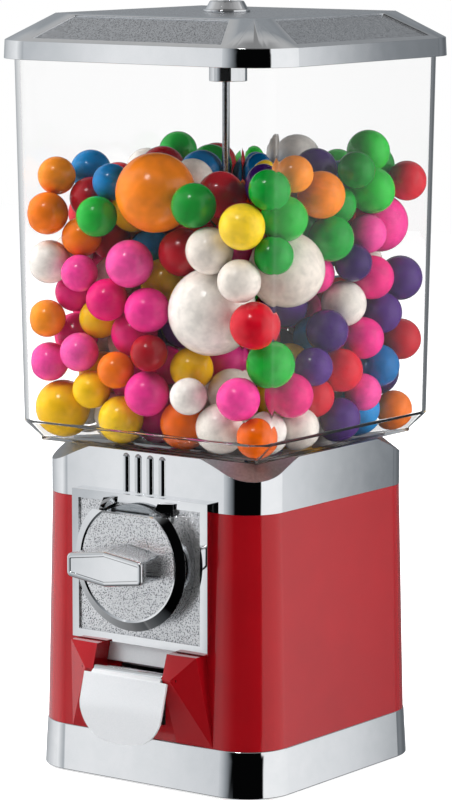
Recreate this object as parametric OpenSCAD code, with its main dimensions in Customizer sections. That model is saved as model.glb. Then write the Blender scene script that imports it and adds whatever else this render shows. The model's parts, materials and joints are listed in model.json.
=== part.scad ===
// Table-top gumball machine: a square clear globe on a square metal cabinet.
// +Z is up, the front of the machine faces -Y, and the origin lies on the
// centre rod's axis at the level of the surface that the rubber feet stand on.

/* [Base] */
// Height of the rubber feet
foot_h = 4; // [3.5:0.1:5]
// Radius of a rubber foot
foot_r = 9; // [7:0.5:10]
// How far the middle of each foot is set in from the cabinet's sides
foot_set_in = 17.2; // [14:0.2:24]
// Radius of the holes through the feet, for the bolts of a stand
stand_hole_r = 3.3; // [2.6:0.1:4]
// Thickness of the steel base plate
plate_t = 2; // [1.5:0.1:2.5]
// Clear height between the floor and the base trim's lower edge
rim_gap = 1; // [0.5:0.1:1.5]
// Height of the chrome base trim
base_h = 25; // [20:0.5:32]
// How much further out the base trim stands at its lower edge than at its top
base_flare = 1.4; // [0:0.1:4]
// Step from the red cabinet out to the base trim
base_ledge = 0.4; // [0.2:0.1:2]
// Wall of the base trim and of the collar
cast_wall = 3; // [2.6:0.1:3.4]

/* [Cabinet] */
// Half width of the red cabinet at its upper edge
body_half_top = 73.2; // [68:0.2:82]
// How much further out the cabinet stands at its lower edge
body_draft = 3; // [1:0.1:5]
// Height of the red cabinet
body_h = 124.5; // [114:0.5:150]
// Wall of the red cabinet
body_wall = 2.4; // [2:0.1:2.8]
// Radius of the cabinet's corner rounds at its upper edge
body_corner_r = 21.7; // [19:0.1:25]

/* [Collar] */
// Height of the chrome collar
collar_h = 27.5; // [25:0.5:32]
// Step from the red cabinet out to the collar
collar_ledge = 0.2; // [0.1:0.1:0.6]
// How far the flat deck reaches past the line of the sides, towards the corners
scallop_reach = 8.6; // [6:0.2:12]
// Fall of the scalloped corners for each millimetre outwards
scallop_slope = 0.8; // [0.6:0.05:0.9]
// Number of upright flutes on the collar's front
flute_count = 4; // [2:1:6]
// Distance between two flutes
flute_pitch = 7.9; // [6:0.1:9]
// Radius of a flute
flute_r = 2.3; // [1.8:0.1:2.7]
// How far the flutes' round heads end below the deck
flute_drop = 1.1; // [0.8:0.1:3]

/* [Globe] */
// Height of the clear globe
globe_h = 210; // [170:1:250]
// How far the globe's flat bottom is set in from the collar's sides
globe_set_in = 1.8; // [1:0.1:2.5]
// Height of the flat bottom's outer lip
globe_lip = 2; // [1.5:0.1:3]
// Height of the slanted bottom above the lip
globe_slant = 8.5; // [7:0.5:10]
// How far the slanted bottom reaches outwards
globe_slant_run = 9; // [7.5:0.1:11]
// How much further out the globe's wall stands at its top edge
globe_draft = 4.05; // [2:0.05:6]
// Wall of the clear globe
globe_wall = 2.5; // [2:0.1:2.8]
// Radius of the corner rounds of the globe's flat bottom
globe_foot_r = 2; // [1.8:0.1:4]

/* [Lid] */
// How far the lid's skirt reaches down past the globe's top edge
lid_overlap = 6; // [4:0.5:8]
// Height of the lid's skirt
lid_skirt_h = 9.8; // [8.5:0.1:12]
// Height of the lid's sloping roof
lid_roof_h = 13.9; // [11:0.1:18]
// How far the lid's lower edge stands out from the globe's top edge
lid_overhang = 7.65; // [6:0.05:10]
// How much further in the lid's skirt stands at the eave than at its lower edge
lid_draft = 0.5; // [0.2:0.1:1.5]
// How far the roof runs in from the eave to the flat top
roof_run = 27; // [24:0.2:30]
// Wall of the lid
lid_wall = 2.4; // [2:0.1:2.6]
// Depth of the four grained panels in the lid's roof
panel_depth = 0.8; // [0.5:0.1:1]
// Border between a panel and the ends of its slope
panel_border = 3.8; // [3:0.1:6]

/* [Lock and rod] */
// Radius of the centre rod
rod_r = 2; // [1.8:0.1:2.4]
// Radius of the lock's barrel below the lid
lock_barrel_r = 9; // [8:0.1:9.9]
// Radius of the lock's flange on the lid
lock_flange_r = 12.5; // [12:0.1:14]
// How far the lock's barrel reaches down from the lid's top
lock_l = 36.7; // [33:0.1:41]
// Height of the lock's head above the lid
lock_head_h = 5.8; // [4.5:0.1:7]
// Radius of the plug that the key turns
lock_plug_r = 6; // [5:0.1:6.6]

/* [Dispensing wheel] */
// Number of pockets, one for each gumball
pocket_count = 6; // [5:1:6]
// Radius of a pocket
pocket_r = 13.5; // [12.5:0.1:14.5]
// Width of the wheel outside its pockets
pocket_rim = 8.5; // [7.5:0.1:9.5]
// Gap between the wheel and the cabinet's wall
wheel_room = 10.8; // [9.6:0.1:12]
// Gap between the wheel and its bore in the collar's deck
wheel_gap = 1.5; // [1:0.1:2.5]
// Width of the deck's ledge inside the globe's round hole
cover_ledge = 4.5; // [4:0.1:4.8]
// Height of the wheel
wheel_h = 25.5; // [23:0.1:28]
// How far the wheel's top lies below the deck
wheel_sink = 1.5; // [1.2:0.1:2.5]
// Wall of the skirt that carries the crown teeth
skirt_wall = 4; // [3.5:0.1:4.5]
// Number of teeth of the pinion that drives the wheel
pinion_teeth = 8; // [7:1:9]
// Thickness of the fixed floor below the wheel
floor_t = 2.5; // [2:0.1:3]
// Direction of the outlet hole, counted from +X towards +Y
outlet_angle = 210; // [205:1:215]
// Outer radius of the centre tube that carries the floor
tube_r = 9; // [7:0.5:9.5]

/* [Coin mechanism] */
// Radius of the coin that the machine takes
coin_r = 12.2; // [11:0.1:13.4]
// Thickness of the coin that the machine takes
coin_t = 1.8; // [1.5:0.1:2]
// Depth of the coin shaft's axis below the cabinet's upper edge
shaft_drop = 29.5; // [27.5:0.1:33]
// How far the face plate stands out from the cabinet's upper edge
face_proud = 5.4; // [5:0.1:7]
// How far the face plate rises above the cabinet's upper edge
face_rise = 5; // [4:0.1:6]
// Width of the face plate's raised border
face_border = 4.6; // [3.5:0.1:5.2]
// Depth of the grained field inside the border
face_recess = 1.2; // [0.8:0.1:1.5]
// Distance between the dial and the face plate's border at its sides
dial_margin = 3.7; // [3:0.1:6]
// Distance between the dial and the face plate's border below it
dial_foot_margin = 4.5; // [3:0.1:7]
// How far the dial's face stands in front of the face plate
dial_depth = 9.7; // [9:0.1:11]
// Depth of the dial's bevel
dial_bevel = 2.5; // [2:0.1:3.5]
// Width of the dial's bevel, seen from the front
dial_bevel_w = 5; // [3.5:0.1:6]
// How far a coin stands out of the slot at the dial's flat
coin_proud = 4.9; // [4:0.1:6]
// Wall of the dial
dial_wall = 2.3; // [2:0.1:2.6]
// How far the handle stands in front of the dial
handle_depth = 20.3; // [17:0.1:25]
// Length of the handle's front face
handle_l = 49.4; // [44:0.2:54]
// Height of the handle's front face in its middle
handle_h = 18.4; // [16:0.2:20]
// Height of the handle's front face at its ends
handle_end_h = 12.2; // [10:0.2:14]
// Length of the handle where it meets the dial
handle_root_l = 42; // [38:0.2:46]
// Height of the handle where it meets the dial
handle_root_h = 20.6; // [18:0.2:24]
// Radius of the drive shaft
shaft_r = 4; // [3.5:0.1:4.5]
// Wall of the bushes around the drive shaft
bush_wall = 3; // [2:0.1:3.4]
// Length of the spacers between the face plate and the back plate
spacer_l = 8.5; // [8:0.1:10]
// Number of ratchet teeth
ratchet_teeth = 12; // [8:1:16]
// Radius of the ratchet wheel over its teeth
ratchet_r = 15; // [14:0.1:15.5]
// Radius of the pawl's pin
pawl_pin_r = 1.5; // [1.3:0.1:1.8]
// Radius of the mechanism's screws
screw_r = 1.5; // [1.3:0.1:1.7]

/* [Chute] */
// Half width of the gap between the cabinet's two cheeks
chute_half = 23; // [20.5:0.1:25.5]
// How much wider than the face plate the wedge of the cheeks is at its foot, on each side
wedge_margin = 2; // [0:0.1:3]
// How far the wedge's ends lean inwards from its foot to its upper edge
wedge_lean = 5.3; // [0:0.1:6]
// How far the wedge's upper edge stands out from the cabinet at its ends
wedge_reach = 8.8; // [7:0.1:10]
// How far the cheeks' noses stand out from the cabinet's lower edge
nose_reach = 12.7; // [11:0.1:15]
// How far the noses lie below the wedge's upper edge
nose_drop = 13; // [11:0.1:15]
// How far the flap reaches past the gap on each side
flap_lap = 4.2; // [3:0.1:6]
// How far the flap's front stands in front of the noses
flap_depth = 6.3; // [5:0.1:8]
// Sheet thickness of the flap
flap_t = 1.4; // [1.2:0.1:1.5]
// Radius of the flap's lower corners
flap_corner_r = 21; // [16:0.5:23]
// Radius of the flap's hinge pin
flap_pin_r = 1.3; // [1.1:0.1:1.5]
// Half width of the chute's mouth in the cabinet's front
mouth_half = 15.5; // [14:0.1:18]
// Height of the wall below the chute's mouth
mouth_lip = 8; // [5:0.2:12]
// Length of the chute's box behind its mouth
chute_box_l = 34.6; // [30:0.2:40]
// Height of the ramp's bend above the chute's box
ramp_rise = 27.4; // [22:0.2:32]
// Sheet thickness of the chutes, the hood and the cash box
sheet_t = 1.4; // [1.2:0.1:1.6]

/* [Gumballs] */
// Clear height between the pile of gumballs and the globe's top edge
fill_gap = 63; // [46:1:150]
// Radius of the smallest gumball
ball_r_min = 9.8; // [9:0.1:11]
// Radius of the largest ordinary gumball
ball_r_max = 13; // [11:0.1:13]
// Number that picks one arrangement of the pile
pile_seed = 6; // [1:1:99]
// Number that picks how the colours fall in it
colour_seed = 336; // [1:1:999]
// How common the eight colours are at the pile's foot, from white to purple
foot_mix = [10, 1.5, 0.3, 0.5, 3, 0, 0.6, 0.5];
// The same in its middle, on the left
left_mix = [2.5, 6, 1.8, 1.5, 0.6, 1, 1, 0.3];
// The same in its middle, on the right
right_mix = [4, 3, 2, 0.3, 2, 0.2, 1, 3.5];
// The same at its top
top_mix = [2, 2, 3, 2.5, 1.5, 4, 4.5, 1.2];

/* [Fits] */
// Radial clearance of a shaft that turns in a bore
run_fit = 0.06; // [0.03:0.01:0.09]
// Radial clearance of a fixed pin or screw in its hole
fixed_fit = 0.03; // [0.02:0.01:0.05]
// Gap between two pieces that slide past each other face to face
side_gap = 0.3; // [0.2:0.05:0.4]
// Gap between a loose-fitting piece and the opening it sits in
seat_gap = 0.4; // [0.3:0.05:0.6]

/* [Hidden] */
$fn = 64;
eps = 0.01;

// Colours of the pieces.
chrome = "#d9dcdf";
enamel = "#c0141f";
zinc = "#c3c6c9";
steel = "#aeb3b8";
dark_plastic = "#3a3d42";

// Half widths, from the cabinet's upper edge down to the base and up to the lid.
body_half_low = body_half_top + body_draft;
body_corner = body_half_top - body_corner_r;
base_half_top = body_half_low + base_ledge;
base_half_low = base_half_top + base_flare;
collar_half = body_half_top + collar_ledge;
globe_half_foot = collar_half - globe_set_in;
globe_half_low = globe_half_foot + globe_slant_run;
globe_half_top = globe_half_low + globe_draft;
globe_corner = globe_half_foot - globe_foot_r;
lid_half_low = globe_half_top + lid_overhang;
lid_half_eave = lid_half_low - lid_draft;
lid_half_top = lid_half_eave - roof_run;
scallop_r = collar_half + scallop_reach;
foot_at = body_half_top - foot_set_in;
// Longer than any cut that has to go right through.
reach = 2 * lid_half_low;

// Heights, from the floor up.
base_top = rim_gap + base_h;
body_top = base_top + body_h;
deck_z = body_top + collar_h;
globe_top = deck_z + globe_h;
lid_low = globe_top - lid_overlap;
lid_eave = lid_low + lid_skirt_h;
lid_top = lid_eave + lid_roof_h;
lock_low = lid_top - lock_l;

// Base plate, rod and tube.
plate_z = foot_h;
tube_low = plate_z + plate_t;
nut_h = 3.2;
nut_r = 4;
rod_low = plate_z - nut_h;
rod_grip = 10;
tube_wall = 2.5;
cover_t = 1.5;

// Dispensing wheel.
wheel_r = body_half_top - body_wall - wheel_room;
wheel_top = deck_z - wheel_sink;
wheel_low = wheel_top - wheel_h;
pocket_circle_r = wheel_r - pocket_rim - pocket_r;
deck_bore_r = wheel_r + wheel_gap;
globe_hole_r = deck_bore_r + cover_ledge;
cover_screw_at = deck_bore_r + cover_ledge / 2;
floor_top = wheel_low - side_gap;
floor_low = floor_top - floor_t;
floor_r = wheel_r - skirt_wall - 2;
wheel_hub_r = 8;
wheel_hub_h = 12;

// Crown gear and pinion: one turn of the pinion moves the wheel by one pocket.
// The size of the teeth follows from their pitch on the skirt's middle radius.
crown_teeth = pinion_teeth * pocket_count;
crown_r = wheel_r - skirt_wall / 2;
pinion_r = crown_r / pocket_count;
tooth_pitch = 360 / crown_teeth;
tooth_arc = 2 * PI * crown_r / crown_teeth;
tooth_out = 0.224 * tooth_arc;
tooth_in = 0.329 * tooth_arc;
tooth_w = 0.362 * tooth_arc;
tooth_tip_w = 0.198 * tooth_arc;
tooth_root_w = 0.514 * tooth_arc;
tooth_root = 0.2;
pinion_w = skirt_wall + 1;

// Coin shaft, coin and dial. The coin sits on the bush and fills the dial.
shaft_z = body_top - shaft_drop;
pitch_z = shaft_z + pinion_r;
bush_r = shaft_r + bush_wall;
coin_seat = bush_r + coin_r;
coin_room = 1.6;
coin_drop_angle = -35;
dial_side_wall = 3.4;
dial_in_r = coin_seat + coin_r + coin_room;
dial_r = dial_in_r + dial_side_wall;
dial_face_r = dial_r - dial_bevel_w;
dial_flat = coin_seat + coin_r - coin_proud;
carrier_r = dial_in_r - 2.5;
carrier_t = 5;
lug_half = 4.5;
lug_x = dial_r - 16.9;
lug_h = 6.2;
lug_root = 6;

// Face plate around the dial.
face_half = dial_r + dial_margin + face_border;
face_low = shaft_z - dial_r - dial_foot_margin - face_border;
face_high = body_top + face_rise;

// Layers of the coin mechanism, as distances from the rod's axis towards the front.
face_front = body_half_top + face_proud;
field_front = face_front - face_recess;
dial_front = face_front + dial_depth;
lug_front = dial_front - 4.3;
handle_back = dial_front + 0.5;
handle_front = dial_front + handle_depth;
handle_grip = 9;
boss_t = 4.4;
boss_back = field_front - boss_t;
screw_bite = 2.5;
back_plate_front = boss_back - spacer_l;
back_plate_t = 2;
back_plate_back = back_plate_front - back_plate_t;
ratchet_front = boss_back - 1.5;
ratchet_t = 3;
pinion_front = crown_r + pinion_w / 2;
pinion_back = crown_r - pinion_w / 2;
nut_back = pinion_back - nut_h;
carrier_front = dial_front - dial_wall - side_gap;

// Boss of the mechanism in the cabinet's window, and its fasteners.
mech_half = carrier_r + 3;
mech_low = shaft_z - carrier_r - 3.5;
mech_high = body_top - 3;
hook_h = 2.5;
hook_t = 1.6;
screw_x = mech_half - 8.5;
screw_up = mech_high - shaft_z - 5.5;
spacer_r = 3.5;
pawl_x = -ratchet_r - 9;
pawl_up = 5;
pawl_tip_angle = 135;

// Wedge, cheeks, flap and its hinge.
wedge_half = face_half + wedge_margin;
wedge_top = face_low - 0.5;
nose_front = body_half_low + nose_reach;
nose_rake = 4.2;
nose_z = wedge_top - nose_drop;
flap_half = chute_half + flap_lap;
flap_low = base_top - 0.5;
flap_wide_top = nose_z - 1.3;
flap_front = nose_front + flap_depth;
flap_bend = 17.4;
pin_end = 3;
roll_r = flap_pin_r + 1.2;
pin_front = nose_front - roll_r - 0.1;
pin_z = nose_z + 0.2;

// Chute of the gumballs.
chute_floor = base_top + 1.2;
chute_roof = nose_z + 2.6;
chute_front = body_half(chute_roof) - body_wall - side_gap;
chute_back = chute_front - chute_box_l;
bend_z = chute_roof + ramp_rise;
hood_front = body_half_low + 0.2;
hood_in = hood_front - 2.6;

// Cash box, and the trough that leads the coins over its front wall.
trough_drop = 30;
cash_half = 40;
cash_front = tube_r + 5;
cash_back = body_half_top - body_wall - 6.8;
coin_x = tube_r + 1;
coin_w = 2 * coin_r + 2 * sheet_t + 0.8;
coin_start = boss_back - 4;
coin_start_z = shaft_z - trough_drop;
coin_end_y = cash_front + 6;
coin_end_z = coin_start_z - 28;
coin_side_h = 6;
coin_tilt = atan((coin_start_z - coin_end_z) / (coin_start + coin_end_y));
cash_top = coin_end_z + (coin_end_y - cash_front - sheet_t) * tan(coin_tilt) - side_gap;

// Lid.
roof_corner = lid_half_top - 0.5;
roof_tilt = atan((lid_top - lid_eave) / (lid_half_eave - lid_half_top));
roof_len = (lid_half_eave - lid_half_top) / cos(roof_tilt);

// Half width of the cabinet at height z, and the same for the globe's inside.
function body_half(z) = body_half_low
    + (body_half_top - body_half_low) * (z - base_top) / (body_top - base_top);
globe_wall_z = deck_z + globe_lip + globe_slant;
globe_floor = deck_z + globe_wall;
globe_floor_half = globe_half_foot - globe_wall * 0.65;
globe_in_z = globe_wall_z + 1;
function globe_in(z) = globe_half_low - globe_wall
    + (globe_half_top - globe_half_low) * (z - globe_in_z) / (globe_top - globe_in_z);

// Square tower with round corners: half width w1 at z1 and w2 at z2, and
// corner rounds centred at +-c, so that each corner is part of a cone.
module tower(c, w1, w2, z1, z2) {
    for (sx = [-1, 1], sy = [-1, 1])
        translate([sx * c, sy * c, z1]) cylinder(h = z2 - z1, r1 = w1 - c, r2 = w2 - c);
    for (turn = [0, 90])
        rotate(turn) rotate([90, 0, 90]) translate([0, 0, -c]) linear_extrude(2 * c)
            polygon([[-w1, z1], [w1, z1], [w2, z2], [-w2, z2]]);
}

// Lifts its child into the coin shaft's frame: Z runs out to the front and
// the distance from the rod's axis is the height.
module on_shaft() {
    translate([0, 0, shaft_z]) rotate([90, 0, 0]) children();
}

// A round bar along the coin shaft, from the distance back to the distance front.
module shaft_disc(r, back, front, sides = 64) {
    translate([0, 0, back]) cylinder(h = front - back, r = r, $fn = sides);
}

// A bore along the coin shaft that goes right through every layer.
module shaft_bore(r) {
    cylinder(h = reach, r = r);
}

// Box given by its lowest and highest corners.
module block(low, high) {
    translate(low) cube(high - low);
}

// The four places of a rectangle of fasteners, half_x and half_y from the middle.
module four(half_x, half_y) {
    for (sx = [-1, 1], sy = [-1, 1]) translate([sx * half_x, sy * half_y, 0]) children();
}

// ---------------------------------------------------------------- cabinet

module base_trim() {
    color(chrome) difference() {
        tower(body_corner, base_half_low, base_half_top, rim_gap, base_top);
        tower(body_corner, base_half_low - cast_wall, base_half_low - cast_wall, 0, tube_low);
        tower(body_corner, base_half_top - 2 * cast_wall, base_half_top - 2 * cast_wall,
            tube_low - eps, base_top - cast_wall);
        tower(body_corner, base_half_top - 3 * cast_wall, base_half_top - 3 * cast_wall,
            base_top - cast_wall - eps, base_top + 1);
    }
}

module base_plate() {
    half = base_half_low - cast_wall - seat_gap;
    color(steel) difference() {
        tower(body_corner, half, half, plate_z, plate_z + plate_t);
        translate([0, 0, plate_z - 1]) {
            cylinder(h = plate_t + 2, r = rod_r + fixed_fit);
            four(foot_at, foot_at) cylinder(h = plate_t + 2, r = stand_hole_r);
        }
    }
}

module rubber_feet() {
    color("#202124") four(foot_at, foot_at) difference() {
        union() {
            cylinder(h = 1, r1 = foot_r - 1, r2 = foot_r);
            translate([0, 0, 1]) cylinder(h = foot_h - 1, r = foot_r);
        }
        translate([0, 0, -1]) cylinder(h = foot_h + 2, r = stand_hole_r);
    }
}

// Side view of a cheek near the gap, where it runs out to its nose.
module nose_profile() {
    polygon([[-nose_front + nose_rake, wedge_top], [-nose_front, nose_z], [-body_half_low, base_top],
        [-body_half_low + 2, base_top], [-body_half(wedge_top) + 2, wedge_top]]);
}

// Outer end of the wedge, which leans inwards: its upper edge and its foot.
module wedge_end() {
    top_half = wedge_half - wedge_lean;
    block([top_half - 0.5, -body_half(wedge_top) - wedge_reach, wedge_top - 0.1],
        [top_half, -body_half(wedge_top) + 2, wedge_top]);
    block([wedge_half - 0.5, -body_half_low, base_top],
        [wedge_half, -body_half_low + 2, base_top + 0.1]);
}

// One of the two cheeks beside the chute's gap.
module cheek() {
    hull() {
        translate([chute_half, 0, 0]) rotate([90, 0, 90]) linear_extrude(5) nose_profile();
        wedge_end();
    }
}

module body_shell() {
    color(enamel) difference() {
        union() {
            difference() {
                tower(body_corner, body_half_low, body_half_top, base_top, body_top);
                tower(body_corner, body_half_low - body_wall, body_half_top - body_wall,
                    base_top - eps, body_top + eps);
            }
            for (side = [0, 1]) mirror([side, 0, 0]) cheek();
        }
        // Place of the hood between the cheeks, the chute's mouth below it and the coin
        // mechanism's window above it.
        block([-chute_half, -reach, chute_roof - seat_gap], [chute_half, -body_corner, wedge_top]);
        block([-mouth_half, -reach, base_top + mouth_lip], [mouth_half, -body_corner, chute_roof]);
        block([-mech_half - seat_gap, -reach, mech_low - seat_gap],
            [mech_half + seat_gap, -body_corner, mech_high + seat_gap]);
        // The flap's pin goes through both cheeks.
        translate([-flap_half - pin_end - 1, -pin_front, pin_z]) rotate([0, 90, 0])
            cylinder(h = 2 * (flap_half + pin_end + 1), r = flap_pin_r + fixed_fit);
    }
}

// Cone that keeps the collar's deck flat in the middle and lowers its corners.
module scallop(r, low, high) {
    translate([0, 0, low])
        cylinder(h = high - low, r1 = r + (high - low) / scallop_slope, r2 = r, $fn = 128);
}

module collar() {
    inner = collar_half - cast_wall;
    flute_sink = 0.8;
    flute_low = face_high + 0.6;
    flute_high = deck_z - flute_drop - flute_r;
    color(chrome) {
        difference() {
            intersection() {
                tower(body_corner, collar_half, collar_half, body_top, deck_z);
                scallop(scallop_r, body_top, deck_z);
            }
            intersection() {
                tower(body_corner, inner, inner, body_top - 1, deck_z - cast_wall);
                scallop(scallop_r - cast_wall / 2, body_top - 1, deck_z - cast_wall);
            }
            cylinder(h = deck_z + 1, r = deck_bore_r, $fn = 128);
            rotate(outlet_angle) translate([cover_screw_at, 0, deck_z - cast_wall - 1])
                cylinder(h = cast_wall + 2, r = screw_r + fixed_fit);
        }
        for (i = [0 : flute_count - 1])
            translate([(i - (flute_count - 1) / 2) * flute_pitch, -collar_half + flute_sink, 0]) {
                translate([0, 0, flute_low]) cylinder(h = flute_high - flute_low, r = flute_r);
                translate([0, 0, flute_high]) sphere(r = flute_r);
            }
    }
}

// ------------------------------------------------------- globe, lid and lock

module globe() {
    color([0.85, 0.93, 0.97, 0.3]) difference() {
        union() {
            tower(globe_corner, globe_half_foot, globe_half_foot, deck_z, deck_z + globe_lip);
            tower(globe_corner, globe_half_foot, globe_half_low, deck_z + globe_lip,
                globe_wall_z);
            tower(globe_corner, globe_half_low, globe_half_top, globe_wall_z, globe_top);
        }
        tower(globe_corner, globe_floor_half, globe_half_low - globe_wall, globe_floor,
            globe_in_z);
        tower(globe_corner, globe_half_low - globe_wall, globe_half_top - globe_wall,
            globe_in_z, globe_top + eps);
        translate([0, 0, deck_z - 1])
            cylinder(h = globe_wall + 2, r = globe_hole_r, $fn = 128);
    }
}

// Trapezoid panel let into one of the four slopes of the lid's roof.
module roof_panel() {
    foot = 3.6;
    head = roof_len - 2;
    narrowing = 11;
    translate([0, -lid_half_eave, lid_eave]) rotate([roof_tilt, 0, 0])
        translate([0, 0, -panel_depth]) linear_extrude(panel_depth + 1)
            polygon([[panel_border - lid_half_top, foot], [lid_half_top - panel_border, foot],
                [lid_half_top - panel_border - narrowing, head],
                [panel_border + narrowing - lid_half_top, head]]);
}

module lid() {
    rib_out = globe_half_top + 1.6;
    rib_in = globe_half_top - 3.2;
    rib_top = lid_eave + (lid_half_eave - rib_out) * tan(roof_tilt) - 0.2;
    boss_h = 8;
    color(chrome) difference() {
        union() {
            difference() {
                union() {
                    tower(roof_corner, lid_half_low, lid_half_eave, lid_low, lid_eave);
                    tower(roof_corner, lid_half_eave, lid_half_top, lid_eave, lid_top);
                }
                tower(roof_corner - lid_wall, lid_half_low - lid_wall, lid_half_eave - lid_wall,
                    lid_low - 1, lid_eave - 0.8);
                tower(roof_corner - lid_wall, lid_half_eave - lid_wall, lid_half_top - lid_wall,
                    lid_eave - 0.9, lid_top - lid_wall - 0.6);
            }
            // Rib that seats on the globe's top edge.
            difference() {
                tower(roof_corner, rib_out, rib_out, globe_top + 0.1, rib_top);
                tower(roof_corner, rib_in, rib_in, globe_top - 1, rib_top + 1);
            }
            // Boss around the lock's barrel.
            translate([0, 0, lid_top - 1 - boss_h]) cylinder(h = boss_h, r = lock_flange_r);
        }
        for (turn = [0 : 90 : 270]) rotate(turn) roof_panel();
        translate([0, 0, lid_low]) cylinder(h = reach, r = lock_barrel_r + fixed_fit);
    }
}

module lock_body() {
    flange_t = 1.3;
    color(chrome) translate([0, 0, lid_top]) difference() {
        union() {
            translate([0, 0, -lock_l]) cylinder(h = lock_l + flange_t, r = lock_barrel_r);
            cylinder(h = flange_t, r = lock_flange_r);
            translate([0, 0, flange_t])
                cylinder(h = lock_head_h - flange_t, r1 = lock_flange_r - 1, r2 = lock_barrel_r);
        }
        translate([0, 0, -lock_l - 1])
            cylinder(h = lock_l + lock_head_h + 2, r = lock_plug_r + run_fit);
    }
}

module lock_plug() {
    plug_l = lock_l + lock_head_h - 0.6;
    slot_w = 1.2;
    slot_depth = 4.4;
    color(zinc) translate([0, 0, lock_low]) difference() {
        cylinder(h = plug_l, r = lock_plug_r);
        translate([0, 0, -1]) cylinder(h = rod_grip + 2, r = rod_r + run_fit);
        block([-lock_plug_r / 2, -slot_w / 2, plug_l - slot_depth],
            [lock_plug_r / 2, slot_w / 2, plug_l + 1]);
    }
}

module centre_rod() {
    color(steel) translate([0, 0, rod_low])
        cylinder(h = lock_low + rod_grip - rod_low, r = rod_r);
}

// The nut and washer under the base plate, and the nut that holds the wheel cover.
module rod_nuts() {
    color(steel) for (z = [rod_low, deck_z + cover_t])
        translate([0, 0, z]) difference() {
            cylinder(h = nut_h, r = nut_r, $fn = 6);
            translate([0, 0, -1]) cylinder(h = nut_h + 2, r = rod_r + fixed_fit);
        }
}

// ----------------------------------------------------------- wheel and chutes

module centre_tube() {
    color(zinc) translate([0, 0, tube_low]) difference() {
        cylinder(h = floor_low - tube_low, r = tube_r);
        translate([0, 0, -1]) cylinder(h = floor_low, r = tube_r - tube_wall);
    }
}

module wheel_floor() {
    color(zinc) difference() {
        union() {
            translate([0, 0, floor_low]) cylinder(h = floor_t, r = floor_r);
            translate([0, 0, floor_low]) cylinder(h = floor_t + wheel_hub_h, r = wheel_hub_r);
        }
        translate([0, 0, floor_low - 1])
            cylinder(h = floor_t + wheel_hub_h + 2, r = rod_r + fixed_fit);
        rotate(outlet_angle) translate([pocket_circle_r, 0, floor_low - 1])
            cylinder(h = floor_t + 2, r = pocket_r);
    }
}

// Tapered tooth of the crown gear, with its tip down and its length along +X.
module crown_tooth() {
    translate([wheel_r - skirt_wall, 0, pitch_z]) rotate([90, 0, 90]) linear_extrude(skirt_wall)
        polygon([[-tooth_root_w / 2, tooth_in], [tooth_root_w / 2, tooth_in],
            [tooth_w / 2, 0], [tooth_tip_w / 2, -tooth_out], [-tooth_tip_w / 2, -tooth_out],
            [-tooth_w / 2, 0]]);
}

module dispensing_wheel() {
    skirt_low = pitch_z + tooth_in - tooth_root;
    color(dark_plastic) {
        difference() {
            union() {
                translate([0, 0, wheel_low]) cylinder(h = wheel_h, r = wheel_r, $fn = 128);
                translate([0, 0, skirt_low])
                    cylinder(h = wheel_low - skirt_low + 1, r = wheel_r, $fn = 128);
            }
            translate([0, 0, skirt_low - 1])
                cylinder(h = wheel_low - skirt_low + 1, r = wheel_r - skirt_wall, $fn = 128);
            translate([0, 0, wheel_low - 1])
                cylinder(h = wheel_hub_h + 1, r = wheel_hub_r + run_fit);
            translate([0, 0, wheel_low])
                cylinder(h = wheel_top, r = rod_r + 1.2);
            for (i = [0 : pocket_count - 1])
                rotate(outlet_angle + i * 360 / pocket_count)
                    translate([pocket_circle_r, 0, wheel_low - 1])
                        cylinder(h = wheel_h + 2, r = pocket_r);
        }
        // One tooth points straight to the front, into a gap of the pinion.
        for (i = [0 : crown_teeth - 1]) rotate(-90 + i * tooth_pitch) crown_tooth();
    }
}

// Shield over the pocket that is at the outlet, so that only one gumball falls.
module wheel_cover() {
    color(zinc) difference() {
        translate([0, 0, deck_z]) intersection() {
            cylinder(h = cover_t, r = globe_hole_r - seat_gap);
            union() {
                cylinder(h = cover_t, r = nut_r + 1.2);
                linear_extrude(cover_t) polygon([[0, 0], for (a = [-36 : 18 : 36])
                    reach * [cos(outlet_angle + a), sin(outlet_angle + a)]]);
            }
        }
        cylinder(h = reach, r = rod_r + fixed_fit);
        rotate(outlet_angle) translate([cover_screw_at, 0, deck_z - 1])
            cylinder(h = cover_t + 2, r = screw_r + fixed_fit);
    }
}

// Brush under the cover's two edges, which sweeps spare gumballs off the pocket.
module brush_strip() {
    brush_t = 2.4;
    brush_l = 36;
    color(dark_plastic) for (a = [-30, 30]) rotate(outlet_angle + a)
        block([wheel_r - 4 - brush_l, -brush_t / 2, wheel_top + side_gap],
            [wheel_r - 4, brush_t / 2, deck_z]);
}

module cover_screw() {
    color(steel) rotate(outlet_angle) translate([cover_screw_at, 0, deck_z]) {
        translate([0, 0, -cast_wall - 1]) cylinder(h = cast_wall + 1 + cover_t, r = screw_r);
        translate([0, 0, cover_t]) cylinder(h = 1, r = screw_r + 0.5);
    }
}

// Round bar of radius r from point a to point b.
module bar(a, b, r) {
    d = b - a;
    translate(a) rotate([0, acos(d[2] / norm(d)), atan2(d[1], d[0])]) cylinder(h = norm(d), r = r);
}

// The path of a falling gumball, grown by wall: straight down, then forward.
module ball_path(wall) {
    top = [pocket_circle_r * cos(outlet_angle), pocket_circle_r * sin(outlet_angle), floor_low];
    bend = [top[0], top[1], bend_z];
    end = [-4, -chute_back - 14, chute_floor + 20];
    r = pocket_r + 0.1 + wall;
    bar(bend, top + [0, 0, wall == 0 ? 1 : 0], r);
    translate(bend) sphere(r = r + 0.4);
    bar(bend, end, r);
}

// The whole box of the chute behind its mouth, less wall all round.
module chute_box(wall) {
    out = chute_half - seat_gap - wall;
    block([-out, wall == 0 ? -chute_front : -reach, chute_floor + wall],
        [out, -chute_back - wall, chute_roof - wall]);
}

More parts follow.
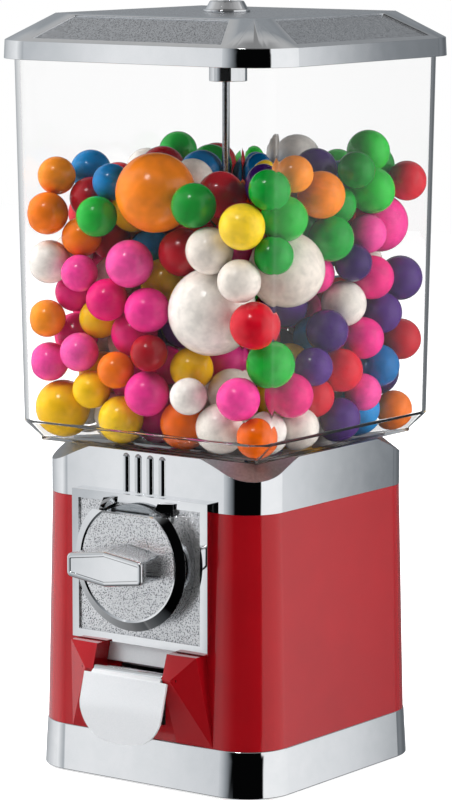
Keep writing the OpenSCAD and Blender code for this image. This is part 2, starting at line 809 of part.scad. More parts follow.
// Upright pipe below the outlet of the wheel's floor.
module ball_pipe() {
    color(zinc) difference() {
        ball_path(sheet_t);
        ball_path(0);
        block([-reach, -reach, 0], [reach, reach, bend_z]);
    }
}

// Slanted pipe that turns the gumballs forward.
module ball_ramp() {
    color(zinc) difference() {
        ball_path(sheet_t);
        ball_path(0);
        block([-reach, -reach, bend_z], [reach, reach, deck_z]);
        chute_box(0);
    }
}

// Box that ends in the chute's mouth, with a hole where the ramp comes in.
module ball_chute() {
    color(zinc) difference() {
        chute_box(0);
        chute_box(sheet_t);
        ball_path(0);
    }
}

// Bright hood above the chute's mouth, which leans forward between the cheeks.
module chute_hood() {
    color(chrome) rotate([90, 0, 90]) translate([0, 0, -chute_half + 0.2])
        linear_extrude(2 * chute_half - 0.4)
            polygon([[-hood_in, wedge_top - 0.1], [-hood_front, chute_roof + 0.4],
                [sheet_t - hood_front, chute_roof], [-hood_in, chute_roof],
                [sheet_t - hood_in, wedge_top - 0.1]]);
}

// Side view of the flap's sheet: it leaves the front of the hinge roll, passes in
// front of the noses, bulges out and hangs straight down.
module flap_profile() {
    back = -nose_front - side_gap;
    polygon([[-pin_front - roll_r, pin_z], [back - flap_t, flap_wide_top],
        [-flap_front, nose_z - flap_bend], [-flap_front, flap_low],
        [flap_t - flap_front, flap_low], [flap_t - flap_front, nose_z - flap_bend],
        [back, flap_wide_top], [flap_t - pin_front - roll_r, pin_z - flap_t / 2]]);
}

// Front view of the sheet in front of the cheeks, with its lower corners rounded.
module flap_outline() {
    r = flap_corner_r;
    translate([-flap_half, flap_low + r]) square([2 * flap_half, flap_wide_top - flap_low - r]);
    translate([r - flap_half, flap_low]) square([2 * (flap_half - r), r + 1]);
    for (side = [-1, 1]) translate([side * (flap_half - r), flap_low + r]) circle(r = r);
}

module chute_flap() {
    inner = chute_half - side_gap;
    color("#e8eaec") difference() {
        union() {
            intersection() {
                translate([-flap_half, 0, 0]) rotate([90, 0, 90])
                    linear_extrude(2 * flap_half) flap_profile();
                union() {
                    rotate([90, 0, 0]) linear_extrude(flap_front + 1) flap_outline();
                    // Tongue between the cheeks, up to the hinge roll.
                    block([-inner, -flap_front, flap_wide_top - 1], [inner, -pin_front, nose_z + 1]);
                }
            }
            translate([-inner, -pin_front, pin_z]) rotate([0, 90, 0])
                cylinder(h = 2 * inner, r = roll_r);
        }
        translate([-flap_half, -pin_front, pin_z]) rotate([0, 90, 0])
            cylinder(h = 2 * flap_half, r = flap_pin_r + run_fit);
    }
}

module flap_pin() {
    color(steel) translate([-flap_half - pin_end, -pin_front, pin_z]) rotate([0, 90, 0])
        cylinder(h = 2 * (flap_half + pin_end), r = flap_pin_r);
}

module cash_box() {
    color(steel) difference() {
        block([-cash_half, cash_front, tube_low], [cash_half, cash_back, cash_top]);
        block([-cash_half + sheet_t, cash_front + sheet_t, tube_low + sheet_t],
            [cash_half - sheet_t, cash_back - sheet_t, cash_top + 1]);
    }
}

// Open trough that leads coins from the mechanism over the cash box's front wall.
module coin_chute() {
    run = (coin_start + coin_end_y) / cos(coin_tilt);
    color(zinc) translate([coin_x, coin_end_y, coin_end_z]) rotate([-coin_tilt, 0, 0])
        difference() {
            block([0, -run, 0], [coin_w, 0, coin_side_h]);
            block([sheet_t, -run - 1, sheet_t], [coin_w - sheet_t, 1, coin_side_h + 1]);
        }
}

// ------------------------------------------------------------ coin mechanism

module face_plate() {
    in_half = face_half - face_border;
    hook_gap = -body_half(mech_low) + body_wall + side_gap;
    color(zinc) difference() {
        union() {
            // The plate's back lies against the cabinet's drafted front.
            translate([-face_half, 0, 0]) rotate([90, 0, 90]) linear_extrude(2 * face_half)
                polygon([[-face_front, face_low], [-face_front, face_high],
                    [-collar_half - 0.02, face_high], [-collar_half - 0.02, body_top],
                    [-body_half(face_low) - 0.02, face_low]]);
            block([-mech_half, -field_front, mech_low], [mech_half, -boss_back, mech_high]);
            // Lip that hooks behind the cabinet's wall below the window.
            block([-mech_half, -boss_back - 0.5, mech_low - hook_h],
                [mech_half, hook_gap + hook_t, mech_low + 3]);
        }
        block([-in_half, -face_front - 1, face_low + face_border],
            [in_half, -field_front, face_high - face_border]);
        block([-mech_half - 1, hook_gap - body_wall - 2, mech_low - hook_h - 1],
            [mech_half + 1, hook_gap, mech_low - seat_gap]);
        on_shaft() {
            shaft_bore(bush_r + fixed_fit);
            // Window through which a spent coin drops into its chute.
            rotate(coin_drop_angle) translate([coin_seat + 1.2, 0, 0]) shaft_bore(coin_r + 0.3);
            four(screw_x, screw_up)
                shaft_disc(screw_r + fixed_fit, back_plate_front, boss_back + screw_bite);
            translate([pawl_x, pawl_up, 0])
                shaft_disc(pawl_pin_r + fixed_fit, back_plate_front, boss_back + screw_bite);
        }
    }
}

module dial() {
    color(zinc) difference() {
        union() {
            on_shaft() difference() {
                union() {
                    translate([0, 0, dial_front - dial_bevel])
                        cylinder(h = dial_bevel, r1 = dial_r, r2 = dial_face_r, $fn = 128);
                    shaft_disc(dial_r, field_front, dial_front - dial_bevel, 128);
                }
                shaft_disc(dial_in_r + 0.4, field_front - 1, dial_front - dial_wall, 128);
                shaft_bore(shaft_r + side_gap);
                // The flat at the top opens the slot for the coin.
                translate([-dial_r - 1, dial_flat, field_front - 1])
                    cube([2 * dial_r + 2, dial_r, dial_front]);
            }
            // Lugs at both ends of the slot.
            for (side = [-1, 1]) translate([side * lug_x, 0, shaft_z + dial_flat]) {
                block([-lug_half, -lug_front, -lug_root],
                    [lug_half, -field_front, face_high - face_border - shaft_z - dial_flat - 0.2]);
                block([-lug_half, -lug_front, -lug_root], [lug_half, -face_front - 0.2, lug_h]);
            }
        }
        on_shaft() shaft_disc(dial_in_r, field_front - 1, dial_front - dial_wall, 128);
    }
}

// Outline of the handle: a long hexagon, as high as h in its middle.
module hexagon(length, h, end_h) {
    polygon([[-length / 2, -end_h / 2], [0, -h / 2], [length / 2, -end_h / 2],
        [length / 2, end_h / 2], [0, h / 2], [-length / 2, end_h / 2]]);
}

module handle_bar() {
    color(zinc) on_shaft() difference() {
        hull() {
            translate([0, 0, handle_back]) linear_extrude(0.5)
                hexagon(handle_root_l, handle_root_h, handle_end_h + 1);
            translate([0, 0, handle_front - 1.5]) linear_extrude(1.5)
                hexagon(handle_l, handle_h, handle_end_h);
        }
        translate([0, 0, handle_front - 0.7]) linear_extrude(2)
            hexagon(handle_l - 4, handle_h - 4, handle_end_h - 3.4);
        shaft_disc(shaft_r + fixed_fit, handle_back - 1, handle_back + handle_grip);
    }
}

module drive_shaft() {
    color(steel) on_shaft() shaft_disc(shaft_r, nut_back - 1, handle_back + handle_grip - 0.2);
}

// Bushes in the face plate and in the back plate.
module shaft_bushes() {
    color("#b8863b") on_shaft() for (span = [[boss_back, field_front],
            [back_plate_back, back_plate_front]])
        difference() {
            shaft_disc(bush_r, span[0], span[1]);
            shaft_disc(shaft_r + run_fit, span[0] - 1, span[1] + 1);
        }
}

// Disc inside the dial that carries the coin round in a notch.
module coin_carrier() {
    notch_r = coin_r + 0.4;
    color(steel) on_shaft() difference() {
        shaft_disc(carrier_r, carrier_front - carrier_t, carrier_front);
        shaft_bore(shaft_r + fixed_fit);
        translate([0, coin_seat, carrier_front - coin_t - 0.4]) {
            cylinder(h = carrier_t, r = notch_r);
            translate([-notch_r, 0, 0]) cube([2 * notch_r, dial_r, carrier_t]);
        }
    }
}

// Saw teeth all round, which the pawl lets pass one way only.
module ratchet_wheel() {
    step = 360 / ratchet_teeth;
    tooth_depth = 2.6;
    tooth_rake = 3;
    color(steel) on_shaft() translate([0, 0, ratchet_front - ratchet_t])
        linear_extrude(ratchet_t) difference() {
            polygon([for (i = [0 : ratchet_teeth - 1], k = [0, 1])
                (k == 0 ? ratchet_r : ratchet_r - tooth_depth)
                    * [cos(i * step + k * tooth_rake), sin(i * step + k * tooth_rake)]]);
            circle(r = shaft_r + fixed_fit);
        }
}

module pawl() {
    tip = (ratchet_r + side_gap) * [cos(pawl_tip_angle), sin(pawl_tip_angle)];
    pivot = [pawl_x, pawl_up];
    along = (tip - pivot) / norm(tip - pivot);
    across = [-along[1], along[0]];
    eye_wall = 2;
    arm_w = 3;
    nose_w = 2.4;
    color(steel) on_shaft() translate([0, 0, ratchet_front - ratchet_t]) difference() {
        union() {
            translate(pivot) cylinder(h = ratchet_t, r = pawl_pin_r + eye_wall);
            linear_extrude(ratchet_t) polygon([pivot - 0.4 * arm_w * across,
                pivot + arm_w * across, tip + nose_w * across, tip]);
        }
        translate([pawl_x, pawl_up, -1]) cylinder(h = ratchet_t + 2, r = pawl_pin_r + run_fit);
    }
}

module pawl_pin() {
    color(steel) on_shaft() translate([pawl_x, pawl_up, 0])
        shaft_disc(pawl_pin_r, back_plate_front, boss_back + screw_bite);
}

// Torsion spring on the pawl's pin, with one leg along the pawl.
module pawl_spring() {
    wire = 0.9;
    turns = 4;
    leg_l = 9;
    leg_turn = 14;
    inner = pawl_pin_r + 0.3;
    start = ratchet_front - ratchet_t - turns * wire;
    color("#8d9298") on_shaft() translate([pawl_x, pawl_up, start]) {
        rotate_extrude() polygon([[inner, 0], for (i = [0 : turns - 1], k = [0.5, 1])
            [inner + (k == 1 ? 0.5 * wire : wire), (i + k) * wire], [inner, turns * wire]]);
        translate([0, inner + wire / 2, (turns - 0.5) * wire]) rotate([0, 90, leg_turn])
            cylinder(h = leg_l, r = wire / 2 - 0.05);
    }
}

module mech_back_plate() {
    color(steel) difference() {
        on_shaft() translate([-screw_x - 5, -screw_up - spacer_r, back_plate_back])
            cube([2 * screw_x + 10, 2 * screw_up + spacer_r + 4.5, back_plate_t]);
        on_shaft() shaft_bore(bush_r + fixed_fit);
        on_shaft() four(screw_x, screw_up) shaft_bore(screw_r + fixed_fit);
    }
}

module mech_spacers() {
    color(zinc) on_shaft() four(screw_x, screw_up) difference() {
        shaft_disc(spacer_r, back_plate_front, boss_back);
        shaft_bore(screw_r + fixed_fit);
    }
}

module mech_screws() {
    color(steel) on_shaft() four(screw_x, screw_up) {
        shaft_disc(screw_r, back_plate_back - 1, boss_back + screw_bite - 0.3);
        shaft_disc(2 * screw_r, back_plate_back - 2, back_plate_back);
    }
}

// Bar behind the cabinet's wall that clamps the mechanism at the window's top.
module mech_clamp_bar() {
    front = body_half(mech_high) - body_wall - 0.1;
    bar_half = mech_half + 8.5;
    bar_h = 9;
    bar_t = 2;
    color(steel) on_shaft() difference() {
        translate([-bar_half, screw_up - bar_h / 2, front - bar_t]) cube([2 * bar_half, bar_h, bar_t]);
        for (side = [-1, 1]) translate([side * screw_x, screw_up, 0])
            shaft_bore(spacer_r + fixed_fit);
    }
}

// Pinion below the wheel's crown teeth, with a gap between two teeth at its top.
module drive_gear() {
    color("#b8863b") on_shaft() difference() {
        union() {
            shaft_disc(pinion_r - tooth_in + tooth_root, pinion_back, pinion_front);
            for (i = [0 : pinion_teeth - 1]) rotate((i + 0.5) * 360 / pinion_teeth)
                translate([0, 0, pinion_back]) linear_extrude(pinion_w)
                    polygon([[-tooth_root_w / 2, pinion_r - tooth_in],
                        [tooth_root_w / 2, pinion_r - tooth_in], [tooth_w / 2, pinion_r],
                        [tooth_tip_w / 2, pinion_r + tooth_out],
                        [-tooth_tip_w / 2, pinion_r + tooth_out], [-tooth_w / 2, pinion_r]]);
        }
        shaft_bore(shaft_r + fixed_fit);
    }
}

module shaft_nut() {
    color(steel) on_shaft() difference() {
        shaft_disc(shaft_r + 3, nut_back, pinion_back, 6);
        shaft_bore(shaft_r + fixed_fit);
    }
}

// ----------------------------------------------------------------- gumballs

BALL_COLOURS = ["white", "pink", "red", "orange", "yellow", "green", "blue", "purple"];
// The few oversized gumballs: when each is dropped, as a share of the pile, then
// its place in X and Y as shares of the globe's half width, its radius in radii
// of an ordinary large gumball, and its colour.
GIANTS = [[0.04, -0.77, -0.78, 1.15, 4], [0.3, 0.385, -0.73, 1.8, 0],
    [0.43, 0.73, -0.35, 1.54, 0], [0.66, 0.72, 0.72, 1.23, 1], [0.69, -0.04, -0.72, 1.64, 3]];
// Room that the pile has, the share of it that gumballs fill, and their number.
ball_gap = 0.15;
pile_share = 0.48;
fill_top = globe_top - fill_gap;
fill_space = 4 * pow(globe_half_low - globe_wall, 2) * (fill_top - globe_floor);
ball_mean = PI / 3 * (pow(ball_r_max, 4) - pow(ball_r_min, 4)) / (ball_r_max - ball_r_min);
ball_count = floor(pile_share * fill_space / ball_mean);
// A new ball can only touch the last few layers, which are this many balls.
look_back = 170;
// Each ball tries the globe's corners and so many other places, spread a little wider than
// the globe's half width so that the walls get their share. Then it rolls from the lowest in
// shorter and shorter steps.
tries = 10;
spread = 1.25;
first_step = 0.6 * ball_r_min;
last_step = 0.04 * ball_r_min;

// Lowest height at which a ball of radius r rests on the globe's floor or on its
// slanted bottom, with its centre at p.
function ground(p, r) =
    let (far = max(abs(p[0]), abs(p[1])),
        over_wheel = norm(p) < wheel_r - ball_r_min / 2 && p[0] + p[1] > 0,
        slope = atan((globe_in_z - globe_floor) / (globe_half_low - globe_wall - globe_floor_half)))
    max((over_wheel ? wheel_top + side_gap : globe_floor + ball_gap) + r,
        globe_floor + (r + (far - globe_floor_half) * sin(slope)) / cos(slope));

// Height at which a ball dropped at p comes to rest on the balls below it.
function rest_height(p, r, balls) =
    max(ground(p, r), max([0, for (b = balls)
        let (d2 = (p[0] - b[0]) * (p[0] - b[0]) + (p[1] - b[1]) * (p[1] - b[1]),
            s = r + b[3] + ball_gap)
        if (d2 < s * s) b[2] + sqrt(s * s - d2)]));

// A place is kept inside the globe's wall and off the centre rod.
function keep_in(p, r, w) =
    let (q = [max(-w, min(w, p[0])), max(-w, min(w, p[1]))], d = norm(q),
        off = r + rod_r + 2 * ball_gap)
    d < off ? q * (off / max(d, eps)) : q;

// The lowest of several places: each is [x, y, z].
function lowest(places, i = 1, best = 0) =
    i >= len(places) ? places[best]
    : lowest(places, i + 1, places[i][2] < places[best][2] ? i : best);

// Lets a ball settle: it looks for a lower place in six directions, with shorter
// and shorter steps.
function settle(p, r, w, balls, step) =
    step < last_step ? p
    : let (next = lowest([p, for (a = [0 : 60 : 300])
            let (q = keep_in([p[0], p[1]] + step * [cos(a), sin(a)], r, w))
            [q[0], q[1], rest_height(q, r, balls)]]))
        settle(next, r, w, balls, next[2] < p[2] ? step : step / 2);

// Drops ball number i onto the pile and returns [x, y, z, radius, colour].
function drop(i, balls) =
    let (share = i / ball_count,
        giant = [for (g = GIANTS) if (floor(g[0] * ball_count) == i) g],
        rnd = rands(-spread, spread, 2 * tries + 1, pile_seed * 1000 + i),
        r = len(giant) > 0 ? giant[0][3] * ball_r_max
            : ball_r_min + (ball_r_max - ball_r_min) * (rnd[0] / spread + 1) / 2,
        z_guess = globe_floor + share * (fill_top - globe_floor) - 2.5 * ball_r_max,
        w = globe_in(max(globe_in_z, z_guess)) - r - ball_gap,
        near = [for (k = [max(0, len(balls) - look_back) : len(balls) - 1]) if (k >= 0) balls[k]],
        places = len(giant) > 0 ? [[giant[0][1], giant[0][2]] * globe_half_low]
            : concat([for (k = [1 : tries]) w * [rnd[k], rnd[k + tries]]],
                [for (a = [45 : 90 : 315]) 2 * w * [cos(a), sin(a)]]),
        kept = [for (p = places) let (q = keep_in(p, r, w)) [q[0], q[1], rest_height(q, r, near)]],
        spot = len(giant) > 0 ? kept[0] : settle(lowest(kept), r, w, near, first_step))
    [spot[0], spot[1], spot[2], r, len(giant) > 0 ? giant[0][4] : ball_colour(i, spot)];

// Colour of ball i at p, drawn from the mixes of the foot, the middle and the top.
function ball_colour(i, p) =
    let (high = (p[2] - globe_floor) / (fill_top - globe_floor),
        side = between(0.5 + (p[0] + p[1]) / (2.4 * globe_half_low)),
        foot = between(1.5 - 5 * high),
        top = between(4 * high - 2.4),
        middle = left_mix * (1 - side) + right_mix * side,
        mix = middle * (1 - foot - top) + foot_mix * foot + top_mix * top,
        pick = rands(0, 1, 1, colour_seed * 1000 + i)[0] * (mix * [for (m = mix) 1]),
        steps = [for (k = 0, sum = mix[0]; k < len(mix) - 1; k = k + 1, sum = sum + mix[k]) sum])
    len([for (step = steps) if (step < pick) step]);

function between(value) = max(0, min(1, value));

function pile(i = 0, balls = []) =
    i >= ball_count ? balls : pile(i + 1, concat(balls, [drop(i, balls)]));

module gumballs(index) {
    color(BALL_COLOURS[index]) for (b = pile()) if (b[4] == index)
        translate([b[0], b[1], b[2]]) sphere(r = b[3], $fn = 24);
}

// The gumballs that lie in the wheel's pockets, all but the one at the outlet.
module gumballs_in_wheel() {
    r = min(pocket_r - 1.1, (wheel_top - floor_top) / 2 - side_gap);
    color("orange") for (i = [1 : pocket_count - 1])
        rotate(outlet_angle + i * 360 / pocket_count)
            translate([pocket_circle_r, 0, floor_top + side_gap + r]) sphere(r = r, $fn = 24);
}

base_trim();
base_plate();
rubber_feet();
body_shell();
collar();
globe();
lid();
lock_body();
lock_plug();
centre_rod();
rod_nuts();
centre_tube();
wheel_floor();
dispensing_wheel();
wheel_cover();
brush_strip();
cover_screw();
ball_pipe();
ball_ramp();
ball_chute();
chute_hood();
chute_flap();
flap_pin();
cash_box();
coin_chute();
face_plate();
dial();
handle_bar();
drive_shaft();
shaft_bushes();
coin_carrier();
ratchet_wheel();
pawl();
pawl_pin();
pawl_spring();
mech_back_plate();
mech_spacers();
mech_screws();
mech_clamp_bar();
drive_gear();
shaft_nut();
gumballs_in_wheel();
gumballs(0);  // gumballs_white
gumballs(1);  // gumballs_pink
gumballs(2);  // gumballs_red
gumballs(3);  // gumballs_orange
gumballs(4);  // gumballs_yellow
gumballs(5);  // gumballs_green
gumballs(6);  // gumballs_blue
gumballs(7);  // gumballs_purple
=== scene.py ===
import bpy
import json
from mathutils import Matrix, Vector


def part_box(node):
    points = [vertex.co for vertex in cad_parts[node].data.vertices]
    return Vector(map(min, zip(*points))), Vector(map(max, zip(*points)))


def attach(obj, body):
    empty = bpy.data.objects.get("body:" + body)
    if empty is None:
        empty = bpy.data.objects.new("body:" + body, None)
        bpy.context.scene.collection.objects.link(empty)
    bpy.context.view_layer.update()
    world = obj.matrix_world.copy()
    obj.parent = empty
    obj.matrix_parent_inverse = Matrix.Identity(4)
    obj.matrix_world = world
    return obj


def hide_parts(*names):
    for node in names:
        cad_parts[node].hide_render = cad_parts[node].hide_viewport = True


bl_info = {
    "name": "Gumball Machine Finish",
    "version": (1, 0, 0),
    "blender": (4, 5, 0),
    "location": "View3D > Sidebar > Gumball",
    "description": "Dresses the gumball machine's solids with rounded edges, finishes and gumballs",
    "category": "Object",
}

import json
import math

import bmesh
import bpy
import numpy as np
from bpy.props import FloatProperty, FloatVectorProperty, IntProperty, PointerProperty
from mathutils import Matrix, Vector

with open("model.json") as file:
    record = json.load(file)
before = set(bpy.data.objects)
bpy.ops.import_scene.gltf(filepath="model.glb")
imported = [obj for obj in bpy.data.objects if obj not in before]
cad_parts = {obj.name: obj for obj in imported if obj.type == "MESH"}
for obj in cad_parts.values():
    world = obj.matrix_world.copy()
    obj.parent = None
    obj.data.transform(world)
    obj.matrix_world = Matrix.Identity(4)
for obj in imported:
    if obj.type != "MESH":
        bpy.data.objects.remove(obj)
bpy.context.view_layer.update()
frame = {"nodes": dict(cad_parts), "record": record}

MM = 0.001
NODES = frame["nodes"]


# ------------------------------------------------------------------- colour


def linear(code, alpha=1.0):
    """The linear colour of an sRGB hex value such as "#c0141f"."""
    parts = [int(code[i : i + 2], 16) / 255 for i in (1, 3, 5)]
    curve = [c / 12.92 if c <= 0.04045 else ((c + 0.055) / 1.055) ** 2.4 for c in parts]
    return (*curve, alpha)


def grey(value):
    """The linear grey of an sRGB brightness from 0 to 1."""
    step = round(value * 255)
    return linear(f"#{step:02x}{step:02x}{step:02x}")


# ---------------------------------------------------------------- settings


class MachineColours(bpy.types.PropertyGroup):
    """Colours of the machine's painted and plated pieces."""

    enamel: FloatVectorProperty(
        name="Enamel",
        description="Stoved enamel of the cabinet",
        subtype="COLOR",
        size=4,
        min=0,
        max=1,
        default=linear("#9c0a15"),
    )
    plate: FloatVectorProperty(
        name="Chrome plate",
        description="Bright plating of the castings",
        subtype="COLOR",
        size=4,
        min=0,
        max=1,
        default=linear("#eef0f2"),
    )


class MachineSizes(bpy.types.PropertyGroup):
    """Sizes of the finish, in millimetres. The solids give the rest."""

    edge: FloatProperty(
        name="Edge round", description="Radius of the castings' edges", default=0.6, min=0.1
    )
    corner_steps: IntProperty(
        name="Corner steps", description="Faces round a corner of the globe", default=12, min=3
    )
    globe_wall: FloatProperty(
        name="Globe wall", description="Thickness of the globe's walls", default=2.5
    )
    rim: FloatProperty(
        name="Rim", description="Width of the raised rim on the dial and the handle", default=1.1
    )
    rim_height: FloatProperty(
        name="Rim height", description="Height of that rim over its field", default=0.45
    )
    frame_slope: FloatProperty(
        name="Frame slope", description="Drop of the face plate's frame to its edge", default=0.25
    )
    flap_sheet: FloatProperty(
        name="Flap sheet", description="Thickness of the flap's sheet", default=1.4
    )
    flap_corner: FloatProperty(
        name="Flap corner", description="Radius of the flap's lower corners", default=21
    )
    ball_seed: IntProperty(
        name="Gumball seed",
        description="Picks how the gumballs are turned and tinted",
        default=11,
        min=0,
    )


class StudioSettings(bpy.types.PropertyGroup):
    """Camera of the stage."""

    azimuth: FloatProperty(
        name="Azimuth",
        description="Direction of the camera, from the front towards the right side",
        subtype="ANGLE",
        default=math.radians(36.19),
    )
    pitch: FloatProperty(
        name="Pitch",
        description="How far the camera looks down",
        subtype="ANGLE",
        default=math.radians(8.28),
    )
    distance: FloatProperty(
        name="Distance",
        description="From the camera to the machine's middle",
        unit="LENGTH",
        default=1.9712,
    )
    aim_height: FloatProperty(
        name="Aim height",
        description="Height of the point that the camera looks at",
        unit="LENGTH",
        default=0.19716,
    )
    lens: FloatProperty(name="Lens", description="Focal length in millimetres", default=164.4)


# ------------------------------------------------------------------ shaders


def add(tree, kind, inputs=None, stops=(), **settings):
    """Adds a node, sets its fields and fills its sockets with values or links.

    A node that is given for a socket stands for its first live output. stops are the
    (place, colour) pairs of a colour ramp.
    """
    made = tree.nodes.new(kind)
    for field, value in settings.items():
        setattr(made, field, value)
    if stops:
        band = made.color_ramp.elements
        while len(band) < len(stops):
            band.new(0.5)
        for element, (place, colour) in zip(band, stops):
            element.position = place
            element.color = colour
    for socket, value in (inputs or {}).items():
        if isinstance(value, bpy.types.Node):
            value = next(out for out in value.outputs if out.enabled)
        if isinstance(value, bpy.types.NodeSocket):
            tree.links.new(value, made.inputs[socket])
        else:
            made.inputs[socket].default_value = value
    return made


def new_material(name, constants, build=None, cover=None, stretch=None, **layers):
    """A Principled material with its patterns over object coordinates.

    constants holds its fixed sockets. A layer is (patch, detail, low, high), for noise with
    patches that many millimetres across: tone runs from one colour to the other, gloss from
    one roughness to the other, and relief has its depth in millimetres and its strength in
    their place. build returns more sockets, and cover puts another shader over this one.
    """
    made = bpy.data.materials.new(name)
    made.use_nodes = True
    tree = made.node_tree
    tree.nodes.clear()
    place = add(tree, "ShaderNodeTexCoord").outputs["Object"]
    if stretch:
        place = add(tree, "ShaderNodeMapping", {"Vector": place, "Scale": stretch})
    sockets = dict(constants)
    for layer, (patch, detail, low, high) in layers.items():
        noise = add(
            tree,
            "ShaderNodeTexNoise",
            {"Vector": place, "Scale": 1 / (patch * MM), "Detail": detail},
        )
        if layer == "tone":
            sockets["Base Color"] = add(
                tree, "ShaderNodeValToRGB", {"Fac": noise}, [(0.3, low), (0.7, high)]
            )
        elif layer == "gloss":
            sockets["Roughness"] = add(
                tree, "ShaderNodeMapRange", {"Value": noise, "To Min": low, "To Max": high}
            )
        else:
            sockets["Normal"] = add(
                tree,
                "ShaderNodeBump",
                {"Height": noise, "Distance": low * MM, "Strength": high},
            )
    if build:
        sockets.update(build(tree, place))
    shader = add(tree, "ShaderNodeBsdfPrincipled", sockets)
    if cover:
        shader = cover(tree, shader)
    add(tree, "ShaderNodeOutputMaterial", {"Surface": shader})
    return made


# ---------------------------------------------------------------- materials


def chrome_plate():
    """Bright chromium plate on a polished zinc die casting: mirror-like, with a faint haze."""
    return new_material(
        "chrome_plate",
        {"Metallic": 1.0},
        tone=(9, 3, bpy.context.scene.gumball_colours.plate, linear("#f4f5f7")),
        gloss=(9, 3, 0.02, 0.06),
        relief=(40, 1, 0.03, 0.3),
    )


def satin_sheet():
    """Pressed sheet steel with a bright satin plating: a broad soft sheen, no clear image."""
    return new_material(
        "satin_sheet",
        {"Metallic": 0.5},
        tone=(0.6, 2, linear("#eaecee"), linear("#f0f1f3")),
        gloss=(0.6, 2, 0.3, 0.4),
    )


def satin_deck():
    """The casting's faces that look up: a satin gloss, with a dull grey colour that is painted
    shade.
    """
    return new_material(
        "satin_deck",
        {"Metallic": 1.0},
        tone=(1.5, 3, linear("#a9adb2"), linear("#bfc2c6")),
        gloss=(1.5, 3, 0.5, 0.6),
    )


def grained_chrome(name="plate", pit_shade="#6e7278", bright="#fbfbfc"):
    """Chromium plate over a field that was textured in the die: fine pits, dark with painted shade,
    bright between.

    The pits are drawn coarser than real ones, so that they show.
    """
    pit_width, grit_width, pit_depth = 0.95 * MM, 0.9 * MM, 0.3 * MM

    def build(tree, place):
        pits = add(
            tree,
            "ShaderNodeTexVoronoi",
            {"Vector": place, "Scale": 1 / pit_width, "Randomness": 1.0},
        )
        grit = add(
            tree,
            "ShaderNodeTexNoise",
            {"Vector": place, "Scale": 1 / grit_width, "Detail": 2.0},
        )
        field = add(tree, "ShaderNodeMath", {0: pits, 1: grit}, operation="MULTIPLY")
        # The pits' dark colour is painted shade; their depth comes from the bump.
        stops = [(0.08, linear(pit_shade)), (0.22, linear(bright))]
        return {
            "Base Color": add(tree, "ShaderNodeValToRGB", {"Fac": field}, stops),
            "Normal": add(
                tree,
                "ShaderNodeBump",
                {"Height": field, "Distance": pit_depth, "Strength": 0.5},
            ),
        }

    return new_material(
        f"grained_chrome_{name}", {"Metallic": 0.85}, build, gloss=(0.9, 2, 0.14, 0.26)
    )


def grained_lid_painted_shade():
    """The same texture on the lid's panels, darker all over with painted shade."""
    return grained_chrome("lid", "#4a4d52", "#b4b7bb")


def red_enamel():
    """Stoved enamel on sheet steel: deep colour under a hard gloss with slight orange peel."""
    colour = bpy.context.scene.gumball_colours.enamel
    deep = [part * 0.9 for part in colour[:3]] + [1]
    return new_material(
        "red_enamel",
        {
            "IOR": 1.5,
            "Specular Tint": linear("#ff7070"),
            "Coat Weight": 0.8,
            "Coat Roughness": 0.08,
        },
        tone=(30, 2, deep, colour),
        gloss=(6, 2, 0.16, 0.24),
        relief=(2.5, 1, 0.02, 0.3),
    )


def clear_polycarbonate():
    """Moulded clear polycarbonate: water clear, with edges that draw grey lines."""

    def cover(tree, shader):
        # Light passes straight through, and so does what a mirror shows. A ray that bends in
        # the wall counts as glossy too, so those are taken off the mirrored ones.
        path = add(tree, "ShaderNodeLightPath").outputs
        lit = add(
            tree,
            "ShaderNodeMath",
            {0: path["Is Shadow Ray"], 1: path["Is Diffuse Ray"]},
            operation="MAXIMUM",
        )
        mirrored = add(
            tree,
            "ShaderNodeMath",
            {0: path["Is Glossy Ray"], 1: path["Is Transmission Ray"]},
            operation="SUBTRACT",
        )
        passing = add(tree, "ShaderNodeMath", {0: lit, 1: mirrored}, operation="MAXIMUM")
        clear = add(tree, "ShaderNodeBsdfTransparent", {"Color": grey(0.98)})
        return add(tree, "ShaderNodeMixShader", {0: passing, 1: shader, 2: clear})

    return new_material(
        "clear_polycarbonate",
        {
            "Base Color": linear("#fefefe"),
            "Transmission Weight": 1.0,
            "IOR": 1.34,
            "Specular Tint": grey(0.55),
        },
        cover=cover,
        gloss=(40, 2, 0.0, 0.02),
        relief=(60, 1, 0.05, 0.1),
    )


def candy_shell(name, code, deep, pale):
    """Polished sugar shell of a gumball: soft gloss over a faintly mottled colour."""
    blotch_width = 5 * MM

    def build(tree, place):
        tint = add(tree, "ShaderNodeAttribute", attribute_name="ball_tint").outputs["Fac"]
        shades = [(0.0, linear(deep)), (0.5, linear(code)), (1.0, linear(pale))]
        base = add(tree, "ShaderNodeValToRGB", {"Fac": tint}, shades)
        noise = add(
            tree,
            "ShaderNodeTexNoise",
            {"Vector": place, "Scale": 1 / blotch_width, "Detail": 4, "Roughness": 0.6},
        )
        blotch = add(
            tree, "ShaderNodeValToRGB", {"Fac": noise}, [(0.35, grey(0.9)), (0.65, grey(1.0))]
        )
        return {
            "Base Color": add(
                tree,
                "ShaderNodeMix",
                {"Factor": 1.0, "A": base, "B": blotch},
                data_type="RGBA",
                blend_type="MULTIPLY",
            )
        }

    return new_material(
        f"candy_shell_{name}",
        {"IOR": 1.45, "Specular IOR Level": 0.5},
        build,
        gloss=(3, 3, 0.1, 0.2),
        relief=(4, 3, 0.08, 0.5),
    )


def cast_zinc():
    """Unplated zinc die casting: dull, fine grained and slightly streaked."""
    return new_material(
        "cast_zinc",
        {"Metallic": 1.0},
        tone=(8, 4, linear("#8f9398"), linear("#b4b8bc")),
        gloss=(2, 2, 0.35, 0.5),
        relief=(0.6, 2, 0.05, 0.5),
    )


